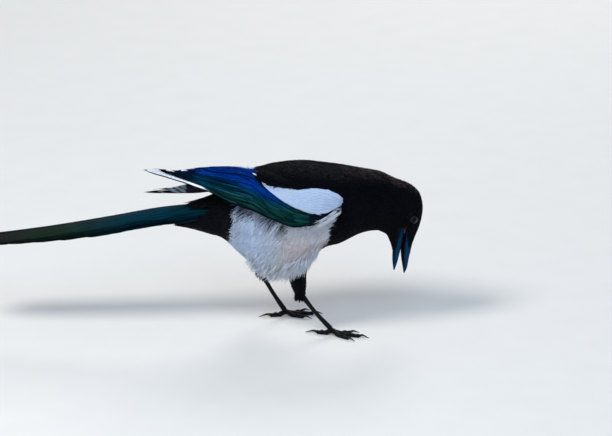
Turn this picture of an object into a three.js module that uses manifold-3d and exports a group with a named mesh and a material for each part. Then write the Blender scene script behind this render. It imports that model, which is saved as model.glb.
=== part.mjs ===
// A life-size Eurasian magpie on the ground, stooping with its bill open: a still model, each part its own closed solid.
// Millimetres, +Z up. The bird faces +X and its left side is +Y. Heights are above the floor that it stands on.
import * as THREE from "three";
import { mergeVertices } from "three/addons/utils/BufferGeometryUtils.js";
import Module from "manifold-3d";

const wasm = await Module();
wasm.setup();

// Driving dimensions
const GAP = 0.3; // left between neighbouring pieces
const LEFT = 1;
const RIGHT = -1;
const TAIL_LENGTH = 238; // central tail feathers, from the vent cut
const EYE_RADIUS = 4.3;
const TARSUS_RADIUS = 1.9;
const TOE_RADIUS = 2.1;

// Smooth values between stations. A station is { at, name: value, ... } and the curve passes through each of them.
function track(stations) {
  const names = Object.keys(stations[0]).filter((name) => name !== "at");
  const slope = (i, name) => {
    const before = stations[Math.max(i - 1, 0)];
    const after = stations[Math.min(i + 1, stations.length - 1)];
    return (after[name] - before[name]) / (after.at - before.at);
  };
  return (at) => {
    const found = stations.findIndex((station, k) => k > 0 && at <= station.at);
    const i = found < 0 ? stations.length - 1 : found;
    const [a, b] = [stations[i - 1], stations[i]];
    const span = b.at - a.at;
    const t = THREE.MathUtils.clamp((at - a.at) / span, 0, 1);
    const value = {};
    for (const name of names) {
      const [p, q] = [a[name], b[name]];
      const [m, n] = [slope(i - 1, name) * span, slope(i, name) * span];
      value[name] =
        p + t * (m + t * (3 * (q - p) - 2 * m - n + t * (2 * (p - q) + m + n)));
    }
    return value;
  };
}

const evenly = (from, to, count) =>
  Array.from({ length: count }, (_, k) => from + ((to - from) * k) / (count - 1));
const mix = THREE.MathUtils.lerp;
const vec = (x, y, z) => new THREE.Vector3(x, y, z);
const rad = THREE.MathUtils.degToRad;

// A closed solid from three.js geometry, faces turned outwards
function solid(geometry) {
  const bare = geometry.clone();
  bare.deleteAttribute("normal");
  bare.deleteAttribute("uv");
  const merged = mergeVertices(bare, 1e-3);
  const made = (triVerts) =>
    new wasm.Manifold(
      new wasm.Mesh({
        numProp: 3,
        vertProperties: new Float32Array(merged.attributes.position.array),
        triVerts,
      }),
    );
  const order = Uint32Array.from(merged.index.array);
  const first = made(order);
  if (first.volume() > 0) return first;
  for (let i = 0; i < order.length; i += 3) {
    [order[i + 1], order[i + 2]] = [order[i + 2], order[i + 1]];
  }
  return made(order);
}

function surface(points, faces) {
  const geometry = new THREE.BufferGeometry().setFromPoints(points);
  return geometry.setIndex(faces.flat());
}

// A skin over rings of equally many points, closed at both ends by a fan about the ring's middle.
function loft(rings) {
  const count = rings[0].length;
  const points = rings.flat();
  const faces = [];
  for (let r = 0; r + 1 < rings.length; r++) {
    for (let k = 0; k < count; k++) {
      const [a, b] = [r * count + k, r * count + ((k + 1) % count)];
      faces.push([a, b, b + count], [a, b + count, a + count]);
    }
  }
  for (const [ring, first, turned] of [
    [rings[0], 0, false],
    [rings.at(-1), (rings.length - 1) * count, true],
  ]) {
    const middle = points.length;
    points.push(
      ring.reduce((sum, p) => sum.add(p), vec(0, 0, 0)).divideScalar(count),
    );
    for (let k = 0; k < count; k++) {
      const [a, b] = [first + k, first + ((k + 1) % count)];
      faces.push(turned ? [a, b, middle] : [b, a, middle]);
    }
  }
  return solid(surface(points, faces));
}

// One rounded section: `rise` and `fall` along `up`, `half` along `side`. A power over 2 makes its upper half boxier.
function section(centre, up, side, { rise, fall, half, power = 2, under = power }, count) {
  return Array.from({ length: count }, (_, k) => {
    const turn = (2 * Math.PI * k) / count;
    const [c, s] = [Math.cos(turn), Math.sin(turn)];
    const bend = 2 / (c > 0 ? power : under);
    const high = Math.sign(c) * Math.abs(c) ** bend * (c > 0 ? rise : fall);
    const wide = Math.sign(s) * Math.abs(s) ** bend * half;
    return centre.clone().addScaledVector(up, high).addScaledVector(side, wide);
  });
}

// Everything on the far side of a plane, as one large block.
function beyond(point, normal) {
  const size = 600;
  const block = new THREE.BoxGeometry(size, size, size).translate(size / 2, 0, 0);
  block.applyQuaternion(
    new THREE.Quaternion().setFromUnitVectors(vec(1, 0, 0), normal.clone().normalize()),
  );
  return solid(block.translate(point.x, point.y, point.z));
}

const largest = (body) => body.decompose().sort((a, b) => b.volume() - a.volume())[0];
const united = (pieces) => largest(pieces.reduce((sum, piece) => sum.add(piece)));
const cutAway = (body, pieces) => largest(pieces.reduce((left, piece) => left.subtract(piece), body));

// A solid's faces as geometry, each point moved by `settle`
function skinOf(body, settle = (p) => p) {
  const { numProp, vertProperties, triVerts } = body.getMesh();
  const points = [];
  for (let i = 0; i < vertProperties.length; i += numProp) {
    points.push(settle(vec(...vertProperties.subarray(i, i + 3))));
  }
  return surface(points, [[...triVerts]]);
}

// Plumage and horn colours, one material each
const finish = (color, roughness, metalness = 0) =>
  new THREE.MeshStandardMaterial({ color, roughness, metalness });
const BLACK_PLUMAGE = finish(0x0b0b10, 0.55);
const WHITE_PLUMAGE = finish(0xe9ebf0, 0.8);
const BLUE_WING = finish(0x0f3f7a, 0.35, 0.2);
const GREEN_TAIL = finish(0x0c3a38, 0.3, 0.2);
const HORN = finish(0x15171c, 0.3);
const LEG_SKIN = finish(0x101013, 0.5);
const EYE_GLOSS = finish(0x120c09, 0.05);

const magpie = new THREE.Group();
function node(name, made, material, settle) {
  const whole = largest(solid(skinOf(made, settle)));
  const mesh = new THREE.Mesh(skinOf(whole), material);
  mesh.name = name;
  magpie.add(mesh);
}

// Body: one skin from the vent to the bill, each station giving the side profile's upper and lower point and half a width
const BODY_SIDES = 22;
const BELLY_POWER = 2.25;
const body = track([
  { at: 0, topX: -70, topZ: 128.6, lowX: -70, lowZ: 86, half: 15.5, power: 2 },
  { at: 16, topX: -54, topZ: 137.5, lowX: -54, lowZ: 71.5, half: 24, power: 2.4 },
  { at: 36, topX: -34, topZ: 151, lowX: -34, lowZ: 54.5, half: 32, power: 2.8 },
  { at: 57, topX: -13.5, topZ: 155.2, lowX: -13.5, lowZ: 52, half: 36, power: 3 },
  { at: 75, topX: 4.5, topZ: 155.8, lowX: 4.5, lowZ: 57.5, half: 37, power: 3 },
  { at: 90, topX: 19.8, topZ: 153.8, lowX: 19.8, lowZ: 76.5, half: 36, power: 2.8 },
  { at: 106, topX: 36, topZ: 152, lowX: 36, lowZ: 82.2, half: 33.5, power: 2.5 },
  { at: 124, topX: 55, topZ: 149.5, lowX: 53, lowZ: 90.8, half: 29, power: 2.2 },
  { at: 140, topX: 73, topZ: 146.5, lowX: 67, lowZ: 94.3, half: 24, power: 2.1 },
  { at: 152, topX: 87.3, topZ: 140, lowX: 73.8, lowZ: 91.5, half: 19.8, power: 2 },
  { at: 163, topX: 99.5, topZ: 134, lowX: 77.5, lowZ: 88.5, half: 17, power: 2 },
  { at: 174, topX: 107.8, topZ: 126.2, lowX: 79.8, lowZ: 84.8, half: 15.6, power: 2 },
  { at: 184, topX: 111, topZ: 115.6, lowX: 81.2, lowZ: 81.2, half: 14.6, power: 2 },
  { at: 194, topX: 110.6, topZ: 105, lowX: 82.3, lowZ: 78.4, half: 12.3, power: 2 },
  { at: 203, topX: 108.4, topZ: 95.4, lowX: 83, lowZ: 75.6, half: 10.2, power: 2 },
  { at: 211, topX: 105.2, topZ: 87, lowX: 83.5, lowZ: 73.6, half: 8.5, power: 2 },
  { at: 219, topX: 102.2, topZ: 78.8, lowX: 83.8, lowZ: 71.8, half: 7.1, power: 2 },
  { at: 226, topX: 99.6, topZ: 71.8, lowX: 84, lowZ: 70, half: 5.6, power: 2 },
]);

// `spare` swells the skin, for the room that its neighbours must leave
function bodyRing(at, spare = 0) {
  const { topX, topZ, lowX, lowZ, half, power } = body(at);
  const top = vec(topX, 0, topZ);
  const low = vec(lowX, 0, lowZ);
  const reach = top.distanceTo(low) / 2 + spare;
  const up = top.clone().sub(low).normalize();
  const sizes = { rise: reach, fall: reach, half: half + spare, power, under: BELLY_POWER };
  return section(top.lerp(low, 0.5), up, vec(0, 1, 0), sizes, BODY_SIDES);
}

const BODY_LENGTH = 226;
const bodySkin = (spare) => loft(evenly(0, BODY_LENGTH, 36).map((at) => bodyRing(at, spare)));
const flesh = bodySkin(0);

// A thin cut across the body, square to it, between two named parts
function cut(at) {
  const { topX, topZ, lowX, lowZ } = body(at);
  const forward = vec(topZ - lowZ, 0, lowX - topX).normalize();
  const point = vec((topX + lowX) / 2, 0, (topZ + lowZ) / 2);
  const shifted = (by) => point.clone().addScaledVector(forward, by);
  return {
    ahead: beyond(shifted(-GAP / 2), forward),
    behind: beyond(shifted(GAP / 2), forward.clone().negate()),
  };
}
const shoulderCut = cut(122);
const napeCut = cut(157);

// The head is turned a little to the bird's left: all that lies past the neck swings about an upright axis.
const HEAD_TURN = rad(18);
const NECK_AXIS_X = 84;
function turnHead(p) {
  const along = p.x + 0.3 * (110 - p.z);
  const share = THREE.MathUtils.smoothstep(along, 60, 90);
  const axis = vec(NECK_AXIS_X, 0, 0);
  return p.sub(axis).applyAxisAngle(vec(0, 0, 1), HEAD_TURN * share).add(axis);
}

// Eyes, each a ball in a socket, inside a raised ring of lid
const EYE = { x: 98.5, y: 11.1, z: 104.2 };
const ball = (x, y, z, radius) =>
  solid(new THREE.SphereGeometry(radius, 12, 9).translate(x, y, z));
function lid(side) {
  const ring = new THREE.TorusGeometry(4.1, 0.75, 5, 14);
  ring.rotateX(Math.PI / 2).rotateZ(side * rad(-12)).rotateX(side * rad(-6));
  return solid(ring.translate(EYE.x, side * (EYE.y + 1.9), EYE.z));
}

// Bill: two horn sheaths open by a few degrees, each given at levels down from the gape by its cutting edge and depth
const BILL_SIDES = 12;
const upperBill = track([
  { at: 97, x: 94.4, deep: 6.4, half: 8.6 },
  { at: 88, x: 93.8, deep: 8.8, half: 7.2 },
  { at: 79, x: 92.8, deep: 9.4, half: 5.9 },
  { at: 72, x: 92.6, deep: 8.2, half: 4.9 },
  { at: 66, x: 92.7, deep: 6.6, half: 3.9 },
  { at: 60, x: 93.2, deep: 5.1, half: 3 },
  { at: 54, x: 93.9, deep: 3.2, half: 2 },
  { at: 49.6, x: 94.2, deep: 0.9, half: 0.6 },
].map(fromGape));
const lowerBill = track([
  { at: 97, x: 93.6, deep: 5.6, half: 8.2 },
  { at: 88, x: 92.2, deep: 6, half: 6.8 },
  { at: 79, x: 91, deep: 6.1, half: 5.5 },
  { at: 72, x: 90, deep: 5.8, half: 4.5 },
  { at: 66, x: 88.8, deep: 4.9, half: 3.5 },
  { at: 60, x: 87.4, deep: 3.3, half: 2.4 },
  { at: 53.4, x: 85.4, deep: 0.7, half: 0.6 },
].map(fromGape));
const GAPE_HEIGHT = 97;
function fromGape(station) {
  return { ...station, at: 97 - station.at };
}

// `way` is +1 for the upper sheath, whose depth lies towards the crown, and -1 for the lower one.
function sheath(shape, length, way, spare = 0) {
  const rings = evenly(0, length, 9).map((at) => {
    const { x, deep, half } = shape(at);
    const flat = 0.25 + spare;
    const sizes = {
      rise: way > 0 ? deep + spare : flat,
      fall: way > 0 ? flat : deep + spare,
      half: half + spare,
      power: 1.8,
    };
    const end = at === 0 ? spare : at === length ? -spare : 0;
    const centre = vec(x + way * 0.25, 0, GAPE_HEIGHT - at + end);
    return section(centre, vec(1, 0, 0), vec(0, 1, 0), sizes, BILL_SIDES);
  });
  return loft(rings);
}
const UPPER_BILL_LENGTH = 47.4;
const LOWER_BILL_LENGTH = 43.6;

// The feathering slopes down onto the horn: it ends at the gape on the cheeks, and runs on along the ridge and the chin.
const FACE_EDGE = [
  [94.4, 97.6],
  [95.8, 90],
  [97.4, 80],
  [99.4, 70],
  [101, 60],
  [84.2, 60],
  [84.6, 71],
  [85.4, 80],
  [86.4, 89],
  [89, 96],
];
function faceOpening(side) {
  const depths = [[0, 0], [6.4, 0], [9, 1], [12, 3], [20, 7]];
  const rings = depths.map(([out, slope]) =>
    FACE_EDGE.map(([x, z]) => {
      const away = vec(x - 92, 0, z - 80).normalize();
      return vec(x, side * out, z).addScaledVector(away, slope);
    }),
  );
  return loft(rings);
}

// Nostril bristles lie forward over the ridge of the bill in tapered locks, clear of the horn.
function bristle(side, row) {
  const start = vec(102.6 - row * 0.9, side * (1.2 + row * 1.9), 89 - row * 0.5);
  const end = vec(99.6 - row * 1.1, side * (0.8 + row * 1.6), 70 + row * 2.6);
  const rings = evenly(0, 1, 5).map((t) => {
    const bulge = 0.7 * Math.sin(Math.PI * t);
    const centre = start.clone().lerp(end, t).add(vec(bulge, side * bulge * 0.3 * row, 0));
    const size = mix(1.9, 0.35, t * t);
    const sizes = { rise: size * 0.7, fall: size * 0.7, half: size };
    return section(centre, vec(1, 0, 0), vec(0, 1, 0), sizes, 6);
  });
  return loft(rings);
}

const bristles = [LEFT, RIGHT].flatMap((side) => [0, 1, 2].map((row) => bristle(side, row)));
const headFeathers = united([flesh, ...bristles, lid(LEFT), lid(RIGHT)]);
const headCuts = [
  napeCut.behind,
  faceOpening(LEFT),
  faceOpening(RIGHT),
  sheath(upperBill, UPPER_BILL_LENGTH, 1, GAP),
  sheath(lowerBill, LOWER_BILL_LENGTH, -1, GAP),
  ball(EYE.x, EYE.y, EYE.z, EYE_RADIUS + GAP),
  ball(EYE.x, -EYE.y, EYE.z, EYE_RADIUS + GAP),
];
node("head", cutAway(headFeathers, headCuts), BLACK_PLUMAGE, turnHead);
node("bill_upper", sheath(upperBill, UPPER_BILL_LENGTH, 1), HORN, turnHead);
node("bill_lower", sheath(lowerBill, LOWER_BILL_LENGTH, -1), HORN, turnHead);
node("eye_left", ball(EYE.x, EYE.y, EYE.z, EYE_RADIUS), EYE_GLOSS, turnHead);
node("eye_right", ball(EYE.x, -EYE.y, EYE.z, EYE_RADIUS), EYE_GLOSS, turnHead);
node("neck", cutAway(flesh, [napeCut.ahead, shoulderCut.behind]), BLACK_PLUMAGE, turnHead);

// A feather on a sheet: its exposed edge runs from root to tip, and the vane reaches `width` across from it, dipping under its neighbour
const RIB_STEP = 42; // ribs fall on the same places in every feather of a sheet, so that neighbours lie true
const TIP_RIBS = [0.7, 0.28, 0];
function vane(sheet, { root, tip, width, out, dip = 0.26, thick = 0.9, point = 0.3, bow = 0, columns = 1 }) {
  const length = tip[0] - root[0];
  const ribs = [0];
  let along = Math.ceil((root[0] + 3) / RIB_STEP) * RIB_STEP;
  for (; along < tip[0] - length * point; along += RIB_STEP) {
    ribs.push((along - root[0]) / length);
  }
  ribs.push(...TIP_RIBS.map((rest) => 1 - point * rest));
  const across = evenly(-0.5, 0.5, columns + 1);
  const rings = ribs.map((s) => {
    const edge = mix(root[1], tip[1], s) + bow * 4 * s * (1 - s);
    const past = Math.max(0, (s - 1 + point) / point);
    const full = Math.min(1, 0.5 + s * 2.5) * Math.max(0.06, Math.sqrt(1 - past ** 2.2));
    const places = across.map((k) => {
      const place = edge + width * (0.5 + k * full);
      return { place, level: out - dip * (place - edge) };
    });
    const depth = thick * mix(1, 0.6, s);
    const upper = places.map(({ place, level }) => sheet(root[0] + length * s, place, level));
    const under = places.map(({ place, level }) => sheet(root[0] + length * s, place, level - depth));
    return [...upper, ...under.reverse()];
  });
  return loft(rings);
}

// Folded wing: a sheet that hugs the flank and leaves it behind the rump. `along` runs back from the shoulder,
// `across` up from the middle line and `out` away from the body. The right wing is carried high over the left one.
const SHOULDER_X = 38;
const wingLines = {
  right: [
    { at: -4, y: 29, z: 134, lean: 24, round: 36 },
    { at: 40, y: 38.5, z: 128.5, lean: 22, round: 42 },
    { at: 84, y: 27.5, z: 140.5, lean: 35, round: 46 },
    { at: 114, y: 20.5, z: 145.2, lean: 41, round: 50 },
    { at: 141, y: 15, z: 147.7, lean: 45, round: 60 },
    { at: 184, y: 12, z: 154.2, lean: 45, round: 90 },
  ],
  left: [
    { at: -4, y: 29, z: 134, lean: 24, round: 36 },
    { at: 40, y: 38.5, z: 128.5, lean: 22, round: 42 },
    { at: 84, y: 29.5, z: 131.5, lean: 36, round: 46 },
    { at: 114, y: 19, z: 130.6, lean: 40, round: 50 },
    { at: 141, y: 9.5, z: 128.8, lean: 36, round: 60 },
    { at: 184, y: 3, z: 127.4, lean: 34, round: 90 },
  ],
};
function wingSheet(side) {
  const line = track(side === LEFT ? wingLines.left : wingLines.right);
  return (along, across, out) => {
    const { y, z, lean, round } = line(along);
    const tilt = rad(lean);
    const climb = vec(0, -side * Math.sin(tilt), Math.cos(tilt));
    const away = vec(0, side * Math.cos(tilt), Math.sin(tilt));
    const turn = across / round;
    return vec(SHOULDER_X - along, side * y, z)
      .addScaledVector(climb, (round + out) * Math.sin(turn))
      .addScaledVector(away, (round + out) * Math.cos(turn) - round);
  };
}

// The arm and its small coverts: a rounded block that the large feathers grow from
const arm = track([
  { at: -3, middle: -1, half: 6.5, thick: 2.5, low: 3.6 },
  { at: 2, middle: -1.5, half: 10.5, thick: 6.4, low: 6.9 },
  { at: 15, middle: -2.8, half: 15, thick: 8, low: 7.6 },
  { at: 40, middle: -3, half: 17, thick: 8, low: 7.8 },
  { at: 60, middle: -0.5, half: 16.5, thick: 6, low: 6.4 },
  { at: 76, middle: 3, half: 13, thick: 3, low: 4.4 },
]);
function armBlock(sheet) {
  const rings = evenly(-3, 76, 10).map((at) => {
    const { middle, half, thick, low } = arm(at);
    return Array.from({ length: 14 }, (_, k) => {
      const turn = (2 * Math.PI * k) / 14;
      const across = middle + half * Math.sin(turn);
      const lift = Math.sign(Math.cos(turn)) * Math.abs(Math.cos(turn)) ** 0.75;
      return sheet(at, across, -low + (thick * (1 + lift)) / 2);
    });
  });
  return loft(rings);
}

const PRIMARY_TIPS = [166, 175, 178, 174, 166, 157, 148]; // outermost first
function wingFeathers() {
  const feathers = PRIMARY_TIPS.map((reach, k) => ({
    root: [62, -18.6 + 2.1 * k],
    tip: [reach, -2.4 + 1.05 * k],
    width: k < 2 ? 8 : 10,
    out: -1.6,
    point: k < 5 ? 0.3 : 0.18,
    bow: -1.7,
  }));
  for (let k = 0; k < 5; k++) {
    const root = [62 + 2 * k, -3.4 + 1.9 * k];
    feathers.push({ root, tip: [140 - 1.4 * k, -1.8 + 2.2 * k], width: 11, out: -1, point: 0.12 });
  }
  for (let k = 0; k < 3; k++) {
    const root = [62 + 2 * k, 6 + 2.4 * k];
    feathers.push({ root, tip: [128 - 11 * k, 8.2 + 2.8 * k], width: 10.5 - k, out: -0.4, point: 0.16 });
  }
  for (let k = 0; k < 3; k++) {
    const root = [30 + 2 * k, -19 + 3 * k];
    feathers.push({ root, tip: [80 - 2 * k, -17 + 3.2 * k], width: 7.5, out: -0.4, point: 0.25 });
  }
  for (let k = 0; k < 5; k++) {
    const root = [32 + 3 * k, -8.5 + 4 * k];
    feathers.push({ root, tip: [80 + 2.4 * k, -7.5 + 4.2 * k], width: 9.5, out: 0.1, point: 0.22 });
  }
  feathers.push({ root: [15, -17.4], tip: [62, -18.2], width: 5.5, out: 0.3, point: 0.3 });
  return feathers;
}

function wing(side) {
  const sheet = wingSheet(side);
  return united([armBlock(sheet), ...wingFeathers().map((feather) => vane(sheet, feather))]);
}

// The room a wing takes in the flank: a hollow for the arm, shallow where only feathers lie, and open to the outside
function wingRoom(side) {
  const sheet = wingSheet(side);
  const reach = track([
    { at: -4, low: 8.5, high: 6, shallow: 3 },
    { at: 2, low: 13.5, high: 9.5, shallow: 3 },
    { at: 15, low: 19.5, high: 13, shallow: 3.4 },
    { at: 40, low: 21.5, high: 17.2, shallow: 4.4 },
    { at: 60, low: 20.5, high: 21, shallow: 5 },
    { at: 84, low: 19, high: 23, shallow: 5.6 },
    { at: 114, low: 16, high: 20, shallow: 5.2 },
  ]);
  const rings = evenly(-4, 114, 12).map((at) => {
    const { low, high, shallow } = reach(at);
    const { middle, half, low: deep } = arm(Math.min(at, 76));
    const share = THREE.MathUtils.clamp((90 - at) / 14, 0, 1);
    const floorUnder = (across) => {
      const off = (across - middle) / (half + 3);
      const dig = Math.abs(off) < 1 ? Math.sqrt(1 - off * off) : 0;
      return -Math.max(shallow, (deep + 1) * share * dig ** 0.6) - GAP;
    };
    const inner = evenly(-low, high, 7).map((across) => sheet(at, across, floorUnder(across)));
    const outer = evenly(high, -low, 3).map((across) => sheet(at, across, 14));
    return [...inner, ...outer];
  });
  return loft(rings);
}

// Shoulder feathers: the white patch, in two rows, and over it the black ones that run back from the mantle across the wing
function scapulars(side) {
  const sheet = wingSheet(side);
  const rows = [
    { count: 5, root: (k) => [-1 + 5.5 * k, -6.4 + 2.6 * k], tip: (k) => [27 + 11.5 * k, -9.6 + 4.2 * k], width: 8.5, out: 2.7 },
    { count: 3, root: (k) => [2 + 7 * k, -0.5 + 4.2 * k], tip: (k) => [38 + 14 * k, -0.2 + 5.4 * k], width: 9, out: 3 },
    { count: 4, root: (k) => [8 + 13 * k, 12 + 2.1 * k], tip: (k) => [50 + 11.3 * k, 14.4 - 2.1 * k + 1 * k * k], width: 8.5, out: 3.2 },
  ];
  const feathers = rows.flatMap(({ count, root, tip, width, out }) =>
    Array.from({ length: count }, (_, k) => ({
      root: root(k), tip: tip(k), width, out, dip: 0.1, thick: 1.3, point: 0.35,
    })),
  );
  return cutAway(united(feathers.map((feather) => vane(sheet, feather))), [bodySkin(GAP)]);
}

node("wing_right", wing(RIGHT), BLUE_WING);
node("wing_left", wing(LEFT), BLUE_WING);

// Tail: a closed fan of twelve feathers in steps, held in a slot between the upper and the lower coverts
const TAIL_ROOT_X = -70;
const tailLine = track([
  { at: 0, z: 109.4, round: 40 },
  { at: 28, z: 107.6, round: 46 },
  { at: 104, z: 97.9, round: 70 },
  { at: 200, z: 85.7, round: 110 },
  { at: 250, z: 79.6, round: 120 },
]);
function tailSheet(along, across, out) {
  const { z, round } = tailLine(along);
  const turn = across / round;
  return vec(
    TAIL_ROOT_X - along,
    (round + out) * Math.sin(turn),
    z + (round + out) * Math.cos(turn) - round,
  );
}
const TAIL_STEPS = [0, 18, 38, 60, 84, 110]; // how far each pair falls short of the central one
const tailFeathers = TAIL_STEPS.flatMap((short, k) =>
  [LEFT, RIGHT].map((side) => {
    const mirrored = (along, across, out) => tailSheet(along, side * across, out);
    const spread = 15.5 + 1.1 * k;
    return vane(mirrored, {
      root: [8, -8 - 0.4 * k],
      tip: [TAIL_LENGTH - short, -spread - (k > 0 ? 1 : 0)],
      width: k === 0 ? 27 : 20,
      out: -0.62 * k - (side === LEFT ? 0 : 0.3),
      dip: 0.02,
      thick: 1,
      point: 0.14,
      bow: -2.2,
      columns: 2,
    });
  }),
);
const coverts = track([
  { at: 0, z: 107.3, rise: 21.3, fall: 21.3, half: 15.5 },
  { at: 10, z: 106.5, rise: 17.2, fall: 17, half: 14.6 },
  { at: 24, z: 105.8, rise: 9.8, fall: 12.2, half: 13.4 },
  { at: 38, z: 104.4, rise: 6.2, fall: 7.8, half: 11.4 },
  { at: 54, z: 102.4, rise: 3.4, fall: 4.2, half: 8 },
]);
const covertCone = loft(
  evenly(0, 54, 9).map((at) => {
    const { z, rise, fall, half } = coverts(at);
    const centre = vec(TAIL_ROOT_X - GAP - at, 0, z);
    return section(centre, vec(0, 0, 1), vec(0, 1, 0), { rise, fall, half }, 16);
  }),
);
const tailSlot = loft(
  [8 - GAP, RIB_STEP, 64].map((at) => {
    const upper = evenly(-22, 22, 7).map((across) => tailSheet(at, across, 0.3 + GAP));
    const under = evenly(22, -22, 7).map((across) => tailSheet(at, across, -5.1 - GAP));
    return [...upper, ...under];
  }),
);
node("tail_coverts", cutAway(covertCone, [tailSlot]), BLACK_PLUMAGE);
node("tail", united(tailFeathers), GREEN_TAIL);

// Legs: a feathered shank, a bare scaled tarsus and a foot of four toes
const legs = {
  right: { knee: vec(2, -20, 80), shin: vec(-2, -20.5, 58), ankle: vec(0, -20, 39), foot: vec(29, -25, 5), turn: -14 },
  left: { knee: vec(-19, 20, 78), shin: vec(-30, 20, 58), ankle: vec(-36, 20, 45), foot: vec(-13, 22.5, 5), turn: 8 },
};

function tube(path, sizes, count, spare = 0) {
  const steps = sizes.length;
  const rings = sizes.map(([rise, half], k) => {
    const at = path.getPointAt(k / (steps - 1));
    const way = path.getTangentAt(k / (steps - 1));
    const side = vec(0, 1, 0).cross(way).normalize();
    const across = way.clone().cross(side).normalize();
    const reach = { rise: rise + spare, fall: rise + spare, half: half + spare };
    const end = k === 0 ? -spare : k === steps - 1 ? spare : 0;
    return section(at.addScaledVector(way, end), side, across, reach, count);
  });
  return loft(rings);
}

function shank({ knee, shin, ankle }, spare = 0) {
  const path = new THREE.CatmullRomCurve3([knee, shin, ankle]);
  return tube(path, [[9.5, 8], [9, 7.6], [8.2, 6.8], [7.6, 6], [6.6, 5], [4.4, 3.6]], 14, spare);
}

function tarsus({ ankle, foot }, spare = 0) {
  const path = new THREE.CatmullRomCurve3([
    ankle.clone().lerp(foot, -0.06),
    ankle.clone().lerp(foot, 0.5).add(vec(-0.8, 0, -0.8)),
    foot.clone().add(vec(-1.4, 0, 1.4)),
  ]);
  const r = TARSUS_RADIUS;
  const sizes = [
    [r * 1.45, r * 1.2],
    [r * 1.25, r * 1.05],
    [r, r * 0.86],
    [r * 0.95, r * 0.84],
    [r, r * 0.86],
    [r * 1.15, r * 1.1],
    [r * 1.2, r * 1.25],
  ];
  return tube(path, sizes, 10, spare);
}

// Toes by name: heading from straight ahead towards the outer side, length to the claw, and claw length
const TOES = [
  { name: "hind", heading: 180, length: 14.5, claw: 11, stout: 1.08 },
  { name: "inner", heading: -26, length: 17.5, claw: 8, stout: 0.95 },
  { name: "middle", heading: 0, length: 26, claw: 8.5, stout: 1 },
  { name: "outer", heading: 25, length: 19, claw: 7.5, stout: 0.92 },
];
const floorBlock = beyond(vec(0, 0, 0), vec(0, 0, -1));

function heading({ turn }, side, angle) {
  const bearing = rad(turn) + side * rad(angle);
  return vec(Math.cos(bearing), Math.sin(bearing), 0);
}

// Padded toes: one swelling to each joint, flat where they bear on the floor
function toe({ foot, turn }, side, { heading: angle, length, stout }) {
  const way = heading({ turn }, side, angle);
  const across = vec(-way.y, way.x, 0);
  const rings = evenly(0, 1, 7).map((t) => {
    const pad = 1 + 0.1 * Math.cos(t * Math.PI * 6);
    const radius = TOE_RADIUS * stout * mix(1.1, 0.82, t) * pad;
    const height = mix(foot.z - 0.6, radius * 0.86, Math.min(1, t * 2.6));
    const centre = vec(foot.x, foot.y, height).addScaledVector(way, t * length);
    return section(centre, vec(0, 0, 1), across, { rise: radius, fall: radius, half: radius }, 6);
  });
  return loft(rings);
}

function claw({ foot, turn }, side, { heading: angle, length, claw: reach, stout }) {
  const way = heading({ turn }, side, angle);
  const across = vec(-way.y, way.x, 0);
  const rings = evenly(0, 1, 5).map((t) => {
    const radius = mix(1.35, 0.3, t) * stout;
    const height = 1.75 * stout + 1.5 * Math.sin(Math.PI * Math.min(1, t * 1.1)) * (1 - t) - 1.1 * t * t;
    const centre = vec(foot.x, foot.y, Math.max(height, radius + 0.12))
      .addScaledVector(way, length + GAP + t * reach * 0.93);
    return section(centre, vec(0, 0, 1), across, { rise: radius, fall: radius * 0.8, half: radius * 0.75 }, 6);
  });
  return loft(rings);
}

for (const [name, side] of [["right", RIGHT], ["left", LEFT]]) {
  const leg = legs[name];
  node(`shank_${name}`, cutAway(shank(leg), [tarsus(leg, GAP)]), BLACK_PLUMAGE);
  node(`tarsus_${name}`, tarsus(leg), LEG_SKIN);
  const { x, y } = leg.foot;
  const hub = solid(new THREE.SphereGeometry(3.1, 8, 6).scale(1, 1, 0.85).translate(x, y, 3));
  const toes = united([hub, ...TOES.map((each) => toe(leg, side, each))]);
  node(`foot_${name}`, cutAway(toes, [floorBlock, tarsus(leg, GAP)]), LEG_SKIN);
  for (const each of TOES) {
    node(`claw_${name}_${each.name}`, cutAway(claw(leg, side, each), [floorBlock]), HORN);
  }
}

const torso = cutAway(flesh, [
  shoulderCut.ahead,
  wingRoom(LEFT),
  wingRoom(RIGHT),
  shank(legs.left, GAP),
  shank(legs.right, GAP),
]);
node("torso", torso, WHITE_PLUMAGE);
node("scapulars_right", scapulars(RIGHT), WHITE_PLUMAGE);
node("scapulars_left", scapulars(LEFT), WHITE_PLUMAGE);

// The model's frame: the origin is on the floor under the middle of the whole bird.
const box = new THREE.Box3().setFromObject(magpie);
const middle = box.getCenter(vec(0, 0, 0));
magpie.position.set(-middle.x, -middle.y, -box.min.z);

export default magpie;
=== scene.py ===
import math
import bmesh
import bpy
import numpy as np
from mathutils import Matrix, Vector


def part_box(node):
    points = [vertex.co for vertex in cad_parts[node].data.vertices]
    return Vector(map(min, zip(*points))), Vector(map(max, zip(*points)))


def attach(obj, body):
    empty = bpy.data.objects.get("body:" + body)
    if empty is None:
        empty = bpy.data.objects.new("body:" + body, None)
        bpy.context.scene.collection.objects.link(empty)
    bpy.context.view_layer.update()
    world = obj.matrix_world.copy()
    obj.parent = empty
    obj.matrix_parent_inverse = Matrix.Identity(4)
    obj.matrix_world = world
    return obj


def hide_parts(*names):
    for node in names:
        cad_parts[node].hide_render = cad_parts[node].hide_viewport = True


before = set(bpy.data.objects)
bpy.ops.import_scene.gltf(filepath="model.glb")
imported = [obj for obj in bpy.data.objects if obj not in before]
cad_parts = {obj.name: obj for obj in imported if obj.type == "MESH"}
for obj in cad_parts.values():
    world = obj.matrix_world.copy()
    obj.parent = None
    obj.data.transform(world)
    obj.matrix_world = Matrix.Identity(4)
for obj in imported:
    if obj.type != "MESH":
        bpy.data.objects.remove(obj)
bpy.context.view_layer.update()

TORSO_BACK = 70
torso_low, torso_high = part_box("torso")
PLAN_X = torso_low[0] * 1000 + TORSO_BACK
PLAN_Y = (torso_low[1] + torso_high[1]) * 500


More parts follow.
